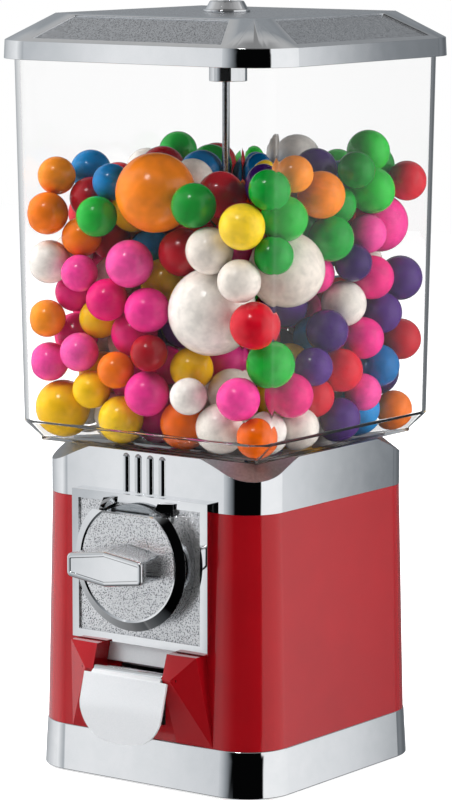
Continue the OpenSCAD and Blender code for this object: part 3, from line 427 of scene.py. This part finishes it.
def zinc_plated_steel():
    """Bright zinc plated steel: light, with fine drawn lines along X."""
    return new_material(
        "zinc_plated_steel",
        {"Metallic": 1.0},
        stretch=(0.05, 1, 1),
        tone=(0.4, 3, linear("#a7abaf"), linear("#cfd3d6")),
        gloss=(0.4, 3, 0.2, 0.34),
    )


def sintered_brass():
    """Turned or sintered brass: warm yellow with a dull film."""
    return new_material(
        "sintered_brass",
        {"Metallic": 1.0},
        tone=(3, 4, linear("#9c7431"), linear("#cfa55a")),
        gloss=(3, 4, 0.22, 0.4),
    )


def moulded_abs():
    """Moulded dark grey ABS: satin, with a fine spark-eroded texture."""
    return new_material(
        "moulded_abs",
        {"IOR": 1.52},
        tone=(10, 2, linear("#2c2f33"), linear("#3b3f44")),
        gloss=(1, 2, 0.4, 0.55),
        relief=(0.5, 2, 0.03, 0.6),
    )


def nitrile_rubber():
    """Moulded black nitrile rubber: matt, with a dusty bloom."""
    return new_material(
        "nitrile_rubber",
        {"IOR": 1.5},
        tone=(4, 4, linear("#151517"), linear("#2b2b2e")),
        gloss=(2, 2, 0.6, 0.85),
    )


class Finishes:
    """The materials, each made once."""

    made = {}

    @classmethod
    def get(cls, maker, *args):
        key = (maker.__name__, *args)
        if key not in cls.made:
            cls.made[key] = maker(*args)
        return cls.made[key]


# The ordinary, the deepest and the palest shade of each colour of gumball.
CANDY = {
    "white": ("#f0e8df", "#eadfd3", "#f5efe8"),
    "pink": ("#f52a90", "#e81874", "#fb5cae"),
    "red": ("#cf0f26", "#a80c1c", "#e81c30"),
    "orange": ("#fb7d0c", "#ef660a", "#ff9a22"),
    "yellow": ("#fcc808", "#f5b503", "#fed632"),
    "green": ("#12a136", "#0b8426", "#2cc43c"),
    "blue": ("#0a82c6", "#075f9e", "#16a0e8"),
    "purple": ("#3d1a66", "#2b1150", "#5a2c86"),
}

# The finish of each solid that keeps its own mesh.
INNER_FINISHES = {
    zinc_plated_steel: [
        "base_plate", "centre_rod", "rod_nuts", "cover_screw", "flap_pin", "cash_box",
        "drive_shaft", "coin_carrier", "ratchet_wheel", "pawl", "pawl_pin", "pawl_spring",
        "mech_back_plate", "mech_screws", "mech_clamp_bar", "shaft_nut",
    ],
    cast_zinc: [
        "centre_tube", "wheel_floor", "wheel_cover", "ball_pipe", "ball_ramp", "ball_chute",
        "coin_chute", "mech_spacers", "lock_plug",
    ],
    sintered_brass: ["shaft_bushes", "drive_gear"],
    moulded_abs: ["dispensing_wheel", "brush_strip"],
    nitrile_rubber: ["rubber_feet"],
}


# -------------------------------------------------------------- mesh helpers


def size(name):
    """A setting of the finish. Lengths are in millimetres."""
    return getattr(bpy.context.scene.gumball_sizes, name)


def box_mm(node):
    """Lowest and highest corner of a CAD node, in millimetres."""
    low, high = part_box(node)
    return low / MM, high / MM


def new_object(name, mesh, materials):
    """Links an object for a mesh into the scene, with its materials."""
    made = bpy.data.objects.new(name, mesh)
    for material in materials:
        mesh.materials.append(material)
    bpy.context.scene.collection.objects.link(made)
    return made


def plain_mesh(obj):
    """Turns a piece with modifiers into a plain mesh and drops the modifiers."""
    graph = bpy.context.evaluated_depsgraph_get()
    mesh = bpy.data.meshes.new_from_object(obj.evaluated_get(graph))
    obj.modifiers.clear()
    obj.data = mesh
    return obj


def round_edges(obj, width, angle):
    """Rounds the edges that are sharper than angle degrees and keeps flat faces flat."""
    bevel = obj.modifiers.new("edges", "BEVEL")
    bevel.width = width * MM
    bevel.segments = 3
    bevel.limit_method = "ANGLE"
    bevel.angle_limit = math.radians(angle)
    weights = obj.modifiers.new("normals", "WEIGHTED_NORMAL")
    weights.weight = 100
    weights.keep_sharp = True
    plain_mesh(obj)


def soften(name, node, materials, width, angle=28, pick=None, carve=None):
    """The CAD node's own form with rounded edges, in its place.

    carve works on its faces first, and pick tells from a face's centre in millimetres and
    its normal whether it takes the second material.
    """
    work = bmesh.new()
    work.from_mesh(NODES[node].data)
    bmesh.ops.remove_doubles(work, verts=work.verts, dist=0.002 * MM)
    bmesh.ops.dissolve_limit(
        work, angle_limit=math.radians(0.4), verts=work.verts, edges=work.edges
    )
    if carve:
        carve(work)
    work.normal_update()
    if pick:
        for face in work.faces:
            face.material_index = int(pick(face.calc_center_median() / MM, face.normal))
    mesh = bpy.data.meshes.new(name)
    work.to_mesh(mesh)
    work.free()
    mesh.shade_smooth()
    made = new_object(name, mesh, materials)
    round_edges(made, width, angle)
    ride_like(made, node)


def fillet(corners, steps=4, closed=False):
    """The outline through corners (x, y, radius), with an arc of that radius at each."""
    outline = []
    for i, (x, y, radius) in enumerate(corners):
        here = Vector((x, y))
        if radius == 0 or (not closed and i in (0, len(corners) - 1)):
            outline.append(here)
            continue
        back = (Vector(corners[i - 1][:2]) - here).normalized()
        ahead = (Vector(corners[(i + 1) % len(corners)][:2]) - here).normalized()
        half = back.angle(ahead) / 2
        centre = here + (back + ahead).normalized() * radius / math.sin(half)
        start = here + back * radius / math.tan(half) - centre
        turn = start.angle_signed(here + ahead * radius / math.tan(half) - centre)
        for k in range(steps + 1):
            outline.append(centre + Matrix.Rotation(-turn * k / steps, 2) @ start)
    return outline


def skin(name, rings, materials, loop=False):
    """A closed mesh over rings of equally many points, in millimetres.

    The first and the last ring are joined if loop is set, and capped otherwise.
    """
    work = bmesh.new()
    verts = [[work.verts.new(Vector(p) * MM) for p in ring] for ring in rings]
    pairs = list(zip(verts, verts[1:])) + ([(verts[-1], verts[0])] if loop else [])
    for low, high in pairs:
        for i in range(len(low)):
            k = (i + 1) % len(low)
            work.faces.new((low[i], low[k], high[k], high[i]))
    if not loop:
        work.faces.new(verts[0])
        work.faces.new(verts[-1])
    bmesh.ops.remove_doubles(work, verts=work.verts, dist=0.0005 * MM)
    bmesh.ops.recalc_face_normals(work, faces=work.faces)
    mesh = bpy.data.meshes.new(name)
    work.to_mesh(mesh)
    work.free()
    mesh.shade_smooth()
    made = new_object(name, mesh, materials)
    weights = made.modifiers.new("normals", "WEIGHTED_NORMAL")
    weights.keep_sharp = True
    return plain_mesh(made)


def square_ring(half, corner, z, steps):
    """A square of that half width with round corners, centred at corner each way."""
    ring = []
    middle = Vector((corner, corner))
    for quarter in range(4):
        turn = Matrix.Rotation(math.radians(90 * quarter), 2)
        for k in range(steps + 1):
            a = math.radians(90 * k / steps)
            spot = turn @ (middle + (half - corner) * Vector((math.cos(a), math.sin(a))))
            ring.append((spot.x, spot.y, z))
    return ring


def ride_like(piece, node):
    """The piece stands for that CAD node and moves with its body."""
    bodies = frame["record"]["behaviour"]["bodies"]
    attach(piece, next(body for body, nodes in bodies.items() if node in nodes))
    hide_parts(node)


# ------------------------------------------------------------------ pieces


class GUMBALL_OT_inside(bpy.types.Operator):
    """Gives the pieces inside the cabinet and the globe their finishes"""

    bl_idname = "gumball.inside"
    bl_label = "Inner pieces"

    def execute(self, context):
        for maker, nodes in INNER_FINISHES.items():
            for node in nodes:
                data = NODES[node].data
                data.materials.clear()
                data.materials.append(Finishes.get(maker))
        return {"FINISHED"}


class GUMBALL_OT_base_trim(bpy.types.Operator):
    """Makes the plated base trim"""

    bl_idname = "gumball.base_trim"
    bl_label = "Base trim"

    def execute(self, context):
        soften("base_ring", "base_trim", [Finishes.get(chrome_plate)], size("edge"))
        return {"FINISHED"}


class GUMBALL_OT_cabinet(bpy.types.Operator):
    """Makes the enamelled cabinet with its two cheeks"""

    bl_idname = "gumball.cabinet"
    bl_label = "Cabinet"

    def execute(self, context):
        enamel = [Finishes.get(red_enamel)]
        soften("cabinet_shell", "body_shell", enamel, 1.2 * size("edge"), angle=24)
        return {"FINISHED"}


class GUMBALL_OT_collar(bpy.types.Operator):
    """Makes the plated collar with its scalloped corners and flutes"""

    bl_idname = "gumball.collar"
    bl_label = "Collar"

    def execute(self, context):
        def deck(centre, normal):
            """The faces that look up."""
            return normal.z > 0.2

        # The faces that look up take a dull grey, which is painted shade.
        pair = [Finishes.get(chrome_plate), Finishes.get(satin_deck)]
        soften("collar_casting", "collar", pair, 0.8 * size("edge"), pick=deck)
        return {"FINISHED"}


class GUMBALL_OT_globe(bpy.types.Operator):
    """Makes the clear globe with its slanted foot"""

    bl_idname = "gumball.globe"
    bl_label = "Globe"

    def execute(self, context):
        low, high = box_mm("globe")
        wall = size("globe_wall")
        # Half width of the foot, radius of the hole in it and height of its upright lip.
        foot, hole, lip = 71.6, 66.0, 2.0
        # What the slanted bottom edge adds to the half width, over its rise, and what the
        # walls' draft adds above it.
        slant, slant_rise, draft = 9.0, 8.5, 4.05
        low_half = foot + slant
        shoulder = low.z + lip + slant_rise
        corner = foot - 2
        profile = fillet(
            [
                (hole + 1, low.z, 0),
                (foot, low.z, 0.8),
                (foot, low.z + lip, 0.6),
                (low_half, shoulder, 1.2),
                (low_half + draft, high.z, 0.5),
                (low_half + draft - wall, high.z, 0.5),
                (low_half - wall, shoulder + 1, 1.2),
                (foot - 0.65 * wall, low.z + wall, 0.8),
                (hole + 1, low.z + wall, 0),
            ]
        )
        steps = size("corner_steps")
        rings = [square_ring(p.x, min(corner, p.x - 1), p.y, steps) for p in profile[1:-1]]
        for z in (low.z + wall, low.z):
            ring = square_ring(hole, corner * 0.9, z, steps)
            rings.append([(*(Vector(p[:2]).normalized() * hole), z) for p in ring])
        made = skin("clear_globe", rings, [Finishes.get(clear_polycarbonate)], loop=True)
        ride_like(made, "globe")
        return {"FINISHED"}


class GUMBALL_OT_lid(bpy.types.Operator):
    """Makes the plated lid with its grained panels, and the lock"""

    bl_idname = "gumball.lid"
    bl_label = "Lid and lock"

    def execute(self, context):
        high = box_mm("lid")[1]
        # The roof's run and rise over its eave, and the draft of the wall below that.
        run, rise, draft = 27.0, 13.9, 0.5
        eave_half, eave = high.x - draft, high.z - rise

        def grained(centre, normal):
            """The panels sunk in the four roofs, away from their hips, and the flat top."""
            out = max(abs(centre.x), abs(centre.y))
            roof = min(high.z, eave + (eave_half - out) * rise / run)
            square_on = min(abs(normal.x), abs(normal.y)) < 0.02
            sunk = square_on and normal.z > 0.7 and centre.z < roof - 0.5
            flat_top = normal.z > 0.99 and centre.z > high.z - 0.2
            return centre.z > eave and (sunk or flat_top)

        # The lid's panels take the grained chrome darkened by painted shade.
        pair = [Finishes.get(chrome_plate), Finishes.get(grained_lid_painted_shade)]
        soften("lid_casting", "lid", pair, 0.8 * size("edge"), pick=grained)
        soften("lock_barrel", "lock_body", pair[:1], 0.6 * size("edge"))
        return {"FINISHED"}


def faces_front(centre, normal, depth):
    """Whether a face looks to the front at that place along Y, in millimetres."""
    return normal.y < -0.99 and abs(centre.y - depth) < 0.1


class GUMBALL_OT_coin_front(bpy.types.Operator):
    """Makes the face plate, the dial and the handle"""

    bl_idname = "gumball.coin_front"
    bl_label = "Coin mechanism's front"

    def execute(self, context):
        pair = [Finishes.get(chrome_plate), Finishes.get(grained_chrome)]
        edge = 0.7 * size("edge")
        self.plate(pair, edge)
        self.dial(pair, 0.6 * edge)
        self.handle(pair)
        return {"FINISHED"}

    def plate(self, pair, edge):
        """The face plate, whose frame drops a little to its outer edge."""
        low, high = box_mm("face_plate")
        recess = 1.2

        def slope_frame(work):
            for v in work.verts:
                at = v.co / MM
                to_edge = min(high.x - abs(at.x), at.z - low.z, high.z - at.z)
                if abs(at.y - low.y) < 0.01 and to_edge < 0.01:
                    v.co.y += size("frame_slope") * MM

        def field(centre, normal):
            return faces_front(centre, normal, low.y + recess)

        soften("coin_plate", "face_plate", pair, edge, angle=5, pick=field, carve=slope_frame)

    def dial(self, pair, edge):
        """The dial: a rim round its grained field, and two shaped lugs over its flat."""
        low, high = box_mm("dial")
        rim, drop = size("rim"), size("rim_height")

        def shape_lugs(work):
            # Each lug's front falls back by turn from its left to its right side, and its
            # left side leans by lean for each millimetre up. reach is how far they go down
            # from the dial's top.
            turn, lean, reach = 4.0, 0.5, 12
            for side in (-1, 1):
                spots = [(v, v.co / MM) for v in work.verts if v.co.x * side > 0]
                spots = [(v, at) for v, at in spots if at.z > high.z - reach]
                tips = [at for v, at in spots if at.z > high.z - 0.01]
                left, right = min(at.x for at in tips), max(at.x for at in tips)
                lug_front = min(at.y for at in tips)
                flank = [(v, at) for v, at in spots if abs(at.x - left) < 0.01]
                foot = min(at.z for v, at in flank)
                for v, at in spots:
                    if left - 0.01 < at.x < right + 0.01 and abs(at.y - lug_front) < 0.01:
                        v.co.y += turn * (at.x - left) / (right - left) * MM
                for v, at in flank:
                    v.co.x += lean * (at.z - foot) * MM

        def sink_field(work):
            shape_lugs(work)
            front = [
                face
                for face in work.faces
                if faces_front(face.calc_center_median() / MM, face.normal, low.y)
            ]
            bmesh.ops.inset_region(work, faces=front, thickness=rim * MM, depth=-drop * MM)

        def field(centre, normal):
            return faces_front(centre, normal, low.y + drop)

        soften("dial_casting", "dial", pair, edge, angle=20, pick=field, carve=sink_field)

    def handle(self, pair):
        """A long hexagonal bar that widens to the front, with a rim round its face."""
        low, high = box_mm("handle_bar")
        middle = (low.z + high.z) / 2
        depth = high.y - low.y
        # Half length, half height in the middle and half height at the ends.
        front = (high.x, 9.2, 6.1)
        root = (21.0, 10.3, 6.6)

        def outline(inset, back):
            end, top, side = (a + (b - a) * back / depth - inset for a, b in zip(front, root))
            bend = max(0.6, 2.6 - inset)
            corners = [
                (-end, -side, bend), (0, -top, 3), (end, -side, bend),
                (end, side, bend), (0, top, 3), (-end, side, bend),
            ]
            return [(p.x, low.y + back, middle + p.y) for p in fillet(corners, 6, True)]

        # From the root to the front edge, over the rim and down to the field: what each ring
        # is inset by, and how far behind the front it lies.
        rim, drop = size("rim"), size("rim_height")
        profile = fillet(
            [(0, depth, 0), (0, 0, 1.3), (1.2 + rim, 0, 0.25), (1.5 + rim, drop, 0.2), (6, drop, 0)]
        )
        made = skin("turning_handle", [outline(p.x, p.y) for p in profile[:-1]], pair)
        # The bar's upper side is grained.
        for face in made.data.polygons:
            if face.normal.z > 0.8 and abs(face.normal.y) < 0.5:
                face.material_index = 1
        ride_like(made, "handle_bar")


class GUMBALL_OT_chute_front(bpy.types.Operator):
    """Makes the chute's hood and the flap"""

    bl_idname = "gumball.chute_front"
    bl_label = "Hood and flap"

    def execute(self, context):
        sheet = [Finishes.get(satin_sheet)]
        soften("hood_sheet", "chute_hood", sheet, 0.2)
        low, high = box_mm("chute_flap")
        # Radius of the hinge roll, half width of the flap between the cheeks, and how far
        # below the top it grows wide.
        roll, inner, neck = 2.5, 22.7, 4
        wide_top = high.z - neck
        pin = Vector((high.y - roll, high.z - roll))
        self.flap(sheet, low, high, pin.x - roll, pin.y, wide_top, inner)
        # The roll, with its ends rounded by half a millimetre.
        ends = [(-inner, roll - 0.5), (0.5 - inner, roll), (inner - 0.5, roll), (inner, roll - 0.5)]
        rings = [
            [
                (x, pin.x + r * math.cos(a), pin.y + r * math.sin(a))
                for a in np.linspace(0, math.tau, 33)[:-1]
            ]
            for x, r in ends
        ]
        ride_like(skin("flap_roll", rings, [Finishes.get(chrome_plate)]), "chute_flap")
        return {"FINISHED"}

    def flap(self, sheet, low, high, pin_y, pin_z, wide_top, inner):
        """The flap's sheet: forward from the roll, down in a bend, with round lower corners."""
        # Where its wide part starts behind the front, and how far down the bend goes.
        behind, bend_foot = 4.6, 16.1
        side = fillet(
            [
                (pin_y, pin_z, 0),
                (low.y + behind, wide_top, 2),
                (low.y, wide_top - bend_foot, 22),
                (low.y, low.z, 0),
            ],
            8,
        )
        side[-1:] = [Vector((low.y, z)) for z in np.linspace(side[-2].y, low.z, 12)[1:]]
        corner = size("flap_corner")
        rows = []
        for y, z in side:
            drop = max(0, low.z + corner - z)
            half = high.x - corner + math.sqrt(max(0, corner**2 - drop**2))
            half = min(half, inner if z > wide_top else half)
            rows.append((half, y, z))
            if z <= wide_top and rows[-2][0] == inner:
                rows.insert(-1, (inner, y, z + 0.01))
        work = bmesh.new()
        verts = [
            [work.verts.new(Vector((half * k, y, z)) * MM) for k in np.linspace(-1, 1, 9)]
            for half, y, z in rows
        ]
        for a, b in zip(verts, verts[1:]):
            for i in range(len(a) - 1):
                work.faces.new((a[i], b[i], b[i + 1], a[i + 1]))
        mesh = bpy.data.meshes.new("swing_flap")
        work.to_mesh(mesh)
        work.free()
        mesh.shade_smooth()
        made = new_object("swing_flap", mesh, sheet)
        thick = made.modifiers.new("sheet", "SOLIDIFY")
        thick.thickness = size("flap_sheet") * MM
        thick.offset = -1
        thick.use_even_offset = True
        round_edges(made, 0.35, 35)
        ride_like(made, "chute_flap")


# ---------------------------------------------------------------- gumballs


def ball_places(node):
    """Centres and radii of the balls in a CAD node, from its separate shells."""
    mesh = NODES[node].data
    places = np.array([v.co for v in mesh.vertices])
    keys, shell = np.unique(np.round(places / (0.001 * MM)), axis=0, return_inverse=True)
    parent = list(range(len(keys)))

    def root(i):
        while parent[i] != i:
            parent[i] = parent[parent[i]]
            i = parent[i]
        return i

    shell = shell.ravel()
    for polygon in mesh.polygons:
        first = root(shell[polygon.vertices[0]])
        for v in polygon.vertices[1:]:
            parent[root(shell[v])] = first
    roots = np.array([root(i) for i in shell])
    balls = []
    for r in np.unique(roots):
        part = places[roots == r]
        low, high = part.min(0), part.max(0)
        balls.append(((low + high) / 2, float((high - low).max() / 2)))
    return balls


def ball_tree(material):
    """Geometry Nodes that put a sugar-coated ball on each point, sized by its radius."""
    tree = bpy.data.node_groups.new("gumballs", "GeometryNodeTree")
    for name, way, kind in (
        ("Geometry", "INPUT", "Geometry"),
        ("Roundness", "INPUT", "Int"),
        ("Unevenness", "INPUT", "Float"),
        ("Seed", "INPUT", "Int"),
        ("Geometry", "OUTPUT", "Geometry"),
    ):
        tree.interface.new_socket(name, in_out=way, socket_type=f"NodeSocket{kind}")
    given = add(tree, "NodeGroupInput").outputs
    ball = add(
        tree, "GeometryNodeMeshIcoSphere", {"Radius": 1.0, "Subdivisions": given["Roundness"]}
    )
    smooth = add(tree, "GeometryNodeSetShadeSmooth", {"Geometry": ball})
    radius = add(
        tree, "GeometryNodeInputNamedAttribute", {"Name": "ball_radius"}, data_type="FLOAT"
    )
    small = add(
        tree, "ShaderNodeMath", {0: 1.0, 1: given["Unevenness"]}, operation="SUBTRACT"
    )
    shape = add(
        tree,
        "FunctionNodeRandomValue",
        {"Min": small, "Max": (1.0, 1.0, 1.0), "Seed": given["Seed"]},
        data_type="FLOAT_VECTOR",
    )
    scale = add(tree, "ShaderNodeVectorMath", {0: shape, "Scale": radius}, operation="SCALE")
    turn = add(
        tree,
        "FunctionNodeRandomValue",
        {"Max": (math.tau, math.tau, math.tau), "Seed": given["Seed"]},
        data_type="FLOAT_VECTOR",
    )
    tint = add(tree, "FunctionNodeRandomValue", {"Seed": given["Seed"]}, data_type="FLOAT")
    tinted = add(
        tree,
        "GeometryNodeStoreNamedAttribute",
        {"Geometry": given["Geometry"], "Name": "ball_tint", "Value": tint},
        data_type="FLOAT",
        domain="POINT",
    )
    balls = add(
        tree,
        "GeometryNodeInstanceOnPoints",
        {"Points": tinted, "Instance": smooth, "Rotation": turn, "Scale": scale},
    )
    real = add(tree, "GeometryNodeRealizeInstances", {"Geometry": balls})
    dressed = add(tree, "GeometryNodeSetMaterial", {"Geometry": real, "Material": material})
    add(tree, "NodeGroupOutput", {"Geometry": dressed})
    return tree


def set_inputs(modifier, **values):
    """Sets a Geometry Nodes modifier's inputs by their sockets' identifiers."""
    for item in modifier.node_group.interface.items_tree:
        if item.item_type == "SOCKET" and item.in_out == "INPUT" and item.name in values:
            modifier[item.identifier] = values[item.name]


def gumball_piece(name, node, material, seed):
    """The gumballs of one colour, each in the place of its CAD solid."""
    # Unevenness is the most that a ball is flattened, which keeps it inside its solid.
    roundness, unevenness = 4, 0.02
    balls = ball_places(node)
    mesh = bpy.data.meshes.new(name)
    mesh.from_pydata([b[0] for b in balls], [], [])
    radius = mesh.attributes.new("ball_radius", "FLOAT", "POINT")
    radius.data.foreach_set("value", [b[1] for b in balls])
    made = new_object(name, mesh, [])
    nodes = made.modifiers.new("gumballs", "NODES")
    nodes.node_group = ball_tree(material)
    set_inputs(nodes, Roundness=roundness, Unevenness=unevenness, Seed=seed)
    plain_mesh(made)
    ride_like(made, node)


class GUMBALL_OT_gumballs(bpy.types.Operator):
    """Fills the globe and the wheel's pockets with sugar-coated gumballs"""

    bl_idname = "gumball.gumballs"
    bl_label = "Gumballs"

    def execute(self, context):
        seed = size("ball_seed")
        for i, (colour, shades) in enumerate(CANDY.items()):
            shell = Finishes.get(candy_shell, colour, *shades)
            gumball_piece(f"candy_{colour}", f"gumballs_{colour}", shell, seed + i)
        shell = Finishes.get(candy_shell, "orange", *CANDY["orange"])
        gumball_piece("candy_in_wheel", "gumballs_in_wheel", shell, seed + 20)
        return {"FINISHED"}


# ------------------------------------------------------------------- stage


# What chrome mirrors. The walls' tones go round the machine by azimuth, in degrees from the
# front to the right: grey cloth behind, white paper on the left with a bright edge, a fall to
# grey, a tall dark flag round the camera, and white paper on the right.
WALL_TONES = [
    (-180, 0.38), (-160, 0.5), (-140, 0.6), (-121, 0.7),
    (-60, 0.95), (-42, 0.7), (-39.2, 0.76), (-38.4, 0.9), (-37.6, 0.97),
    (-36.9, 0.97), (-36.1, 0.82), (-20, 0.62), (-8, 0.4),
    (-2, 0.1), (-1, 0.02), (70, 0.02),
    (72, 0.97), (120, 0.97), (144.3, 0.95),
    (145.2, 0.8), (145.9, 0.6), (146.6, 0.45), (158, 0.5), (179, 0.4),
]
# Tones that those are multiplied with, by height in degrees above the horizon: a grey floor and
# a dark ceiling.
HEIGHT_TONES = [
    (-90, 0.4), (-50, 0.47), (-26, 0.8), (-13, 1.0), (30, 1.0),
    (47, 0.9), (60, 0.62), (76, 0.3), (90, 0.1),
]
# Above the walls' tops, from the first height to the second, comes one light grey.
WALL_TOP = (25, 42)
OVER_WALLS = 0.76
# How bright that studio is as light on dull surfaces.
AMBIENT = 0.42


def cool(tone):
    """A grey with the faint blue of daylight tubes, which bright walls lose."""
    level = grey(tone)[0]
    share = 0.09 * (1 - level)
    return [level * (1 - share), level, level * (1 + share), 1]


def studio_world():
    """White surroundings for the eye and through glass, and a soft studio for mirrors."""
    world = bpy.data.worlds.new("studio")
    world.use_nodes = True
    tree = world.node_tree
    tree.nodes.clear()
    direction = add(tree, "ShaderNodeTexCoord").outputs["Generated"]
    parts = add(tree, "ShaderNodeSeparateXYZ", {"Vector": direction}).outputs
    front = add(tree, "ShaderNodeMath", {0: parts["Y"], 1: -1.0}, operation="MULTIPLY")
    azimuth = add(tree, "ShaderNodeMath", {0: parts["X"], 1: front}, operation="ARCTAN2")
    turn = add(
        tree,
        "ShaderNodeMapRange",
        {"Value": azimuth, "From Min": -math.pi, "From Max": math.pi},
    )
    stops = [((angle + 180) / 360, cool(tone)) for angle, tone in WALL_TONES]
    walls = add(tree, "ShaderNodeValToRGB", {"Fac": turn}, stops)
    height = add(tree, "ShaderNodeMath", {0: parts["Z"]}, operation="ARCSINE")
    rise = add(
        tree,
        "ShaderNodeMapRange",
        {"Value": height, "From Min": -math.pi / 2, "From Max": math.pi / 2},
    )
    stops = [((angle + 90) / 180, grey(k)) for k, angle in enumerate(WALL_TOP)]
    above = add(tree, "ShaderNodeValToRGB", {"Fac": rise}, stops)
    room = add(
        tree,
        "ShaderNodeMix",
        {"Factor": above, "A": walls, "B": grey(OVER_WALLS)},
        data_type="RGBA",
    )
    stops = [((angle + 90) / 180, grey(tone)) for angle, tone in HEIGHT_TONES]
    levels = add(tree, "ShaderNodeValToRGB", {"Fac": rise}, stops)
    mirrored = add(
        tree,
        "ShaderNodeMix",
        {"Factor": 1.0, "A": room, "B": levels},
        data_type="RGBA",
        blend_type="MULTIPLY",
    )
    path = add(tree, "ShaderNodeLightPath").outputs
    glossy = add(tree, "ShaderNodeBackground", {"Color": mirrored, "Strength": 1.0})
    white = add(tree, "ShaderNodeBackground", {"Color": grey(1.0), "Strength": 1.0})
    soft = add(tree, "ShaderNodeBackground", {"Color": mirrored, "Strength": AMBIENT})
    seen = add(
        tree,
        "ShaderNodeMath",
        {0: path["Is Camera Ray"], 1: path["Is Transmission Ray"]},
        operation="MAXIMUM",
    )
    studio = add(tree, "ShaderNodeMixShader", {0: path["Is Glossy Ray"], 1: soft, 2: glossy})
    surface = add(tree, "ShaderNodeMixShader", {0: seen, 1: studio, 2: white})
    add(tree, "ShaderNodeOutputWorld", {"Surface": surface})
    return world


def studio_paper():
    """Seamless white paper: white to the eye, with a soft grey shadow."""
    glow = 0.75

    def build(tree, place):
        path = add(tree, "ShaderNodeLightPath").outputs
        seen = add(
            tree,
            "ShaderNodeMath",
            {0: path["Is Camera Ray"], 1: path["Is Transmission Ray"]},
            operation="MAXIMUM",
        )
        lift = add(tree, "ShaderNodeMath", {0: seen, 1: glow}, operation="MULTIPLY")
        return {"Emission Strength": lift}

    return new_material(
        "studio_paper",
        {"Roughness": 0.9, "Specular IOR Level": 0.1, "Emission Color": grey(1.0)},
        build,
        tone=(500, 1, grey(0.9), grey(0.92)),
    )


# Area lamps: azimuth in degrees, height, distance and size in metres, power in watts. The
# glint is seen in gloss alone, and the others light the machine and aren't mirrored.
LAMPS = {
    "key_box": (-62, 1.2, 1.6, (1.3, 1.6), 46),
    "side_box": (112, 0.9, 1.8, (1.0, 1.5), 38),
    "top_box": (-50, 2.2, 0.7, (1.5, 1.5), 40),
    "glint_box": (4, 2.0, 1.5, (0.45, 0.45), 9),
}


def soft_box(name, azimuth, height, distance, size, power):
    """An area lamp at an azimuth from the front towards the right side, aimed at the machine."""
    lamp = bpy.data.lights.new(name, "AREA")
    lamp.shape = "RECTANGLE"
    lamp.size, lamp.size_y = size
    lamp.energy = power
    made = bpy.data.objects.new(name, lamp)
    a = math.radians(azimuth)
    made.location = (distance * math.sin(a), -distance * math.cos(a), height)
    aim = Vector((0, 0, 0.2)) - made.location
    made.rotation_euler = aim.to_track_quat("-Z", "Y").to_euler()
    bpy.context.scene.collection.objects.link(made)
    return made


class GUMBALL_OT_stage(bpy.types.Operator):
    """Makes the floor, the light and the camera"""

    bl_idname = "gumball.stage"
    bl_label = "Stage"

    def execute(self, context):
        scene = context.scene
        studio = scene.gumball_studio
        scene.world = studio_world()
        scene.view_settings.view_transform = "Standard"
        mesh = bpy.data.meshes.new("floor")
        reach = 2.5
        corners = [(-reach, -reach, 0), (reach, -reach, 0), (reach, reach, 0), (-reach, reach, 0)]
        mesh.from_pydata(corners, [], [(0, 1, 2, 3)])
        floor = new_object("floor", mesh, [Finishes.get(studio_paper)])
        floor.visible_glossy = False
        for name, settings in LAMPS.items():
            lamp = soft_box(name, *settings)
            if name == "glint_box":
                lamp.visible_diffuse = False
            else:
                lamp.visible_glossy = False
        camera = bpy.data.cameras.new("camera")
        camera.lens = studio.lens
        camera.sensor_width = 36
        camera.clip_start, camera.clip_end = 0.05, 50
        made = bpy.data.objects.new("camera", camera)
        a, p, d = studio.azimuth, studio.pitch, studio.distance
        right = Vector((math.cos(a), math.sin(a), 0))
        back = Vector((math.sin(a) * math.cos(p), -math.cos(a) * math.cos(p), math.sin(p)))
        # The machine stands a little to the right of the picture's middle.
        target = Vector((0, 0, studio.aim_height)) - 0.46 * MM * right
        made.location = target + back * d
        made.rotation_euler = back.to_track_quat("Z", "Y").to_euler()
        scene.collection.objects.link(made)
        scene.camera = made
        return {"FINISHED"}


class GUMBALL_PT_panel(bpy.types.Panel):
    """Lists the machine's settings and steps"""

    bl_idname = "GUMBALL_PT_panel"
    bl_label = "Gumball machine"
    bl_space_type = "VIEW_3D"
    bl_region_type = "UI"
    bl_category = "Gumball"

    def draw(self, context):
        layout = self.layout
        scene = context.scene
        for group in (scene.gumball_colours, scene.gumball_sizes, scene.gumball_studio):
            for name in group.bl_rna.properties.keys():
                if name not in ("rna_type", "name"):
                    layout.prop(group, name)
        for step in STEPS:
            layout.operator(step.bl_idname)


STEPS = [
    GUMBALL_OT_stage,
    GUMBALL_OT_inside,
    GUMBALL_OT_base_trim,
    GUMBALL_OT_cabinet,
    GUMBALL_OT_collar,
    GUMBALL_OT_globe,
    GUMBALL_OT_lid,
    GUMBALL_OT_coin_front,
    GUMBALL_OT_chute_front,
    GUMBALL_OT_gumballs,
]
CLASSES = [MachineColours, MachineSizes, StudioSettings, *STEPS, GUMBALL_PT_panel]


def register():
    for cls in CLASSES:
        bpy.utils.register_class(cls)
    bpy.types.Scene.gumball_colours = PointerProperty(type=MachineColours)
    bpy.types.Scene.gumball_sizes = PointerProperty(type=MachineSizes)
    bpy.types.Scene.gumball_studio = PointerProperty(type=StudioSettings)


def unregister():
    del bpy.types.Scene.gumball_colours
    del bpy.types.Scene.gumball_sizes
    del bpy.types.Scene.gumball_studio
    for cls in reversed(CLASSES):
        bpy.utils.unregister_class(cls)


def main():
    register()
    for step in STEPS:
        group, name = step.bl_idname.split(".")
        getattr(getattr(bpy.ops, group), name)()


if __name__ == "__main__":
    main()
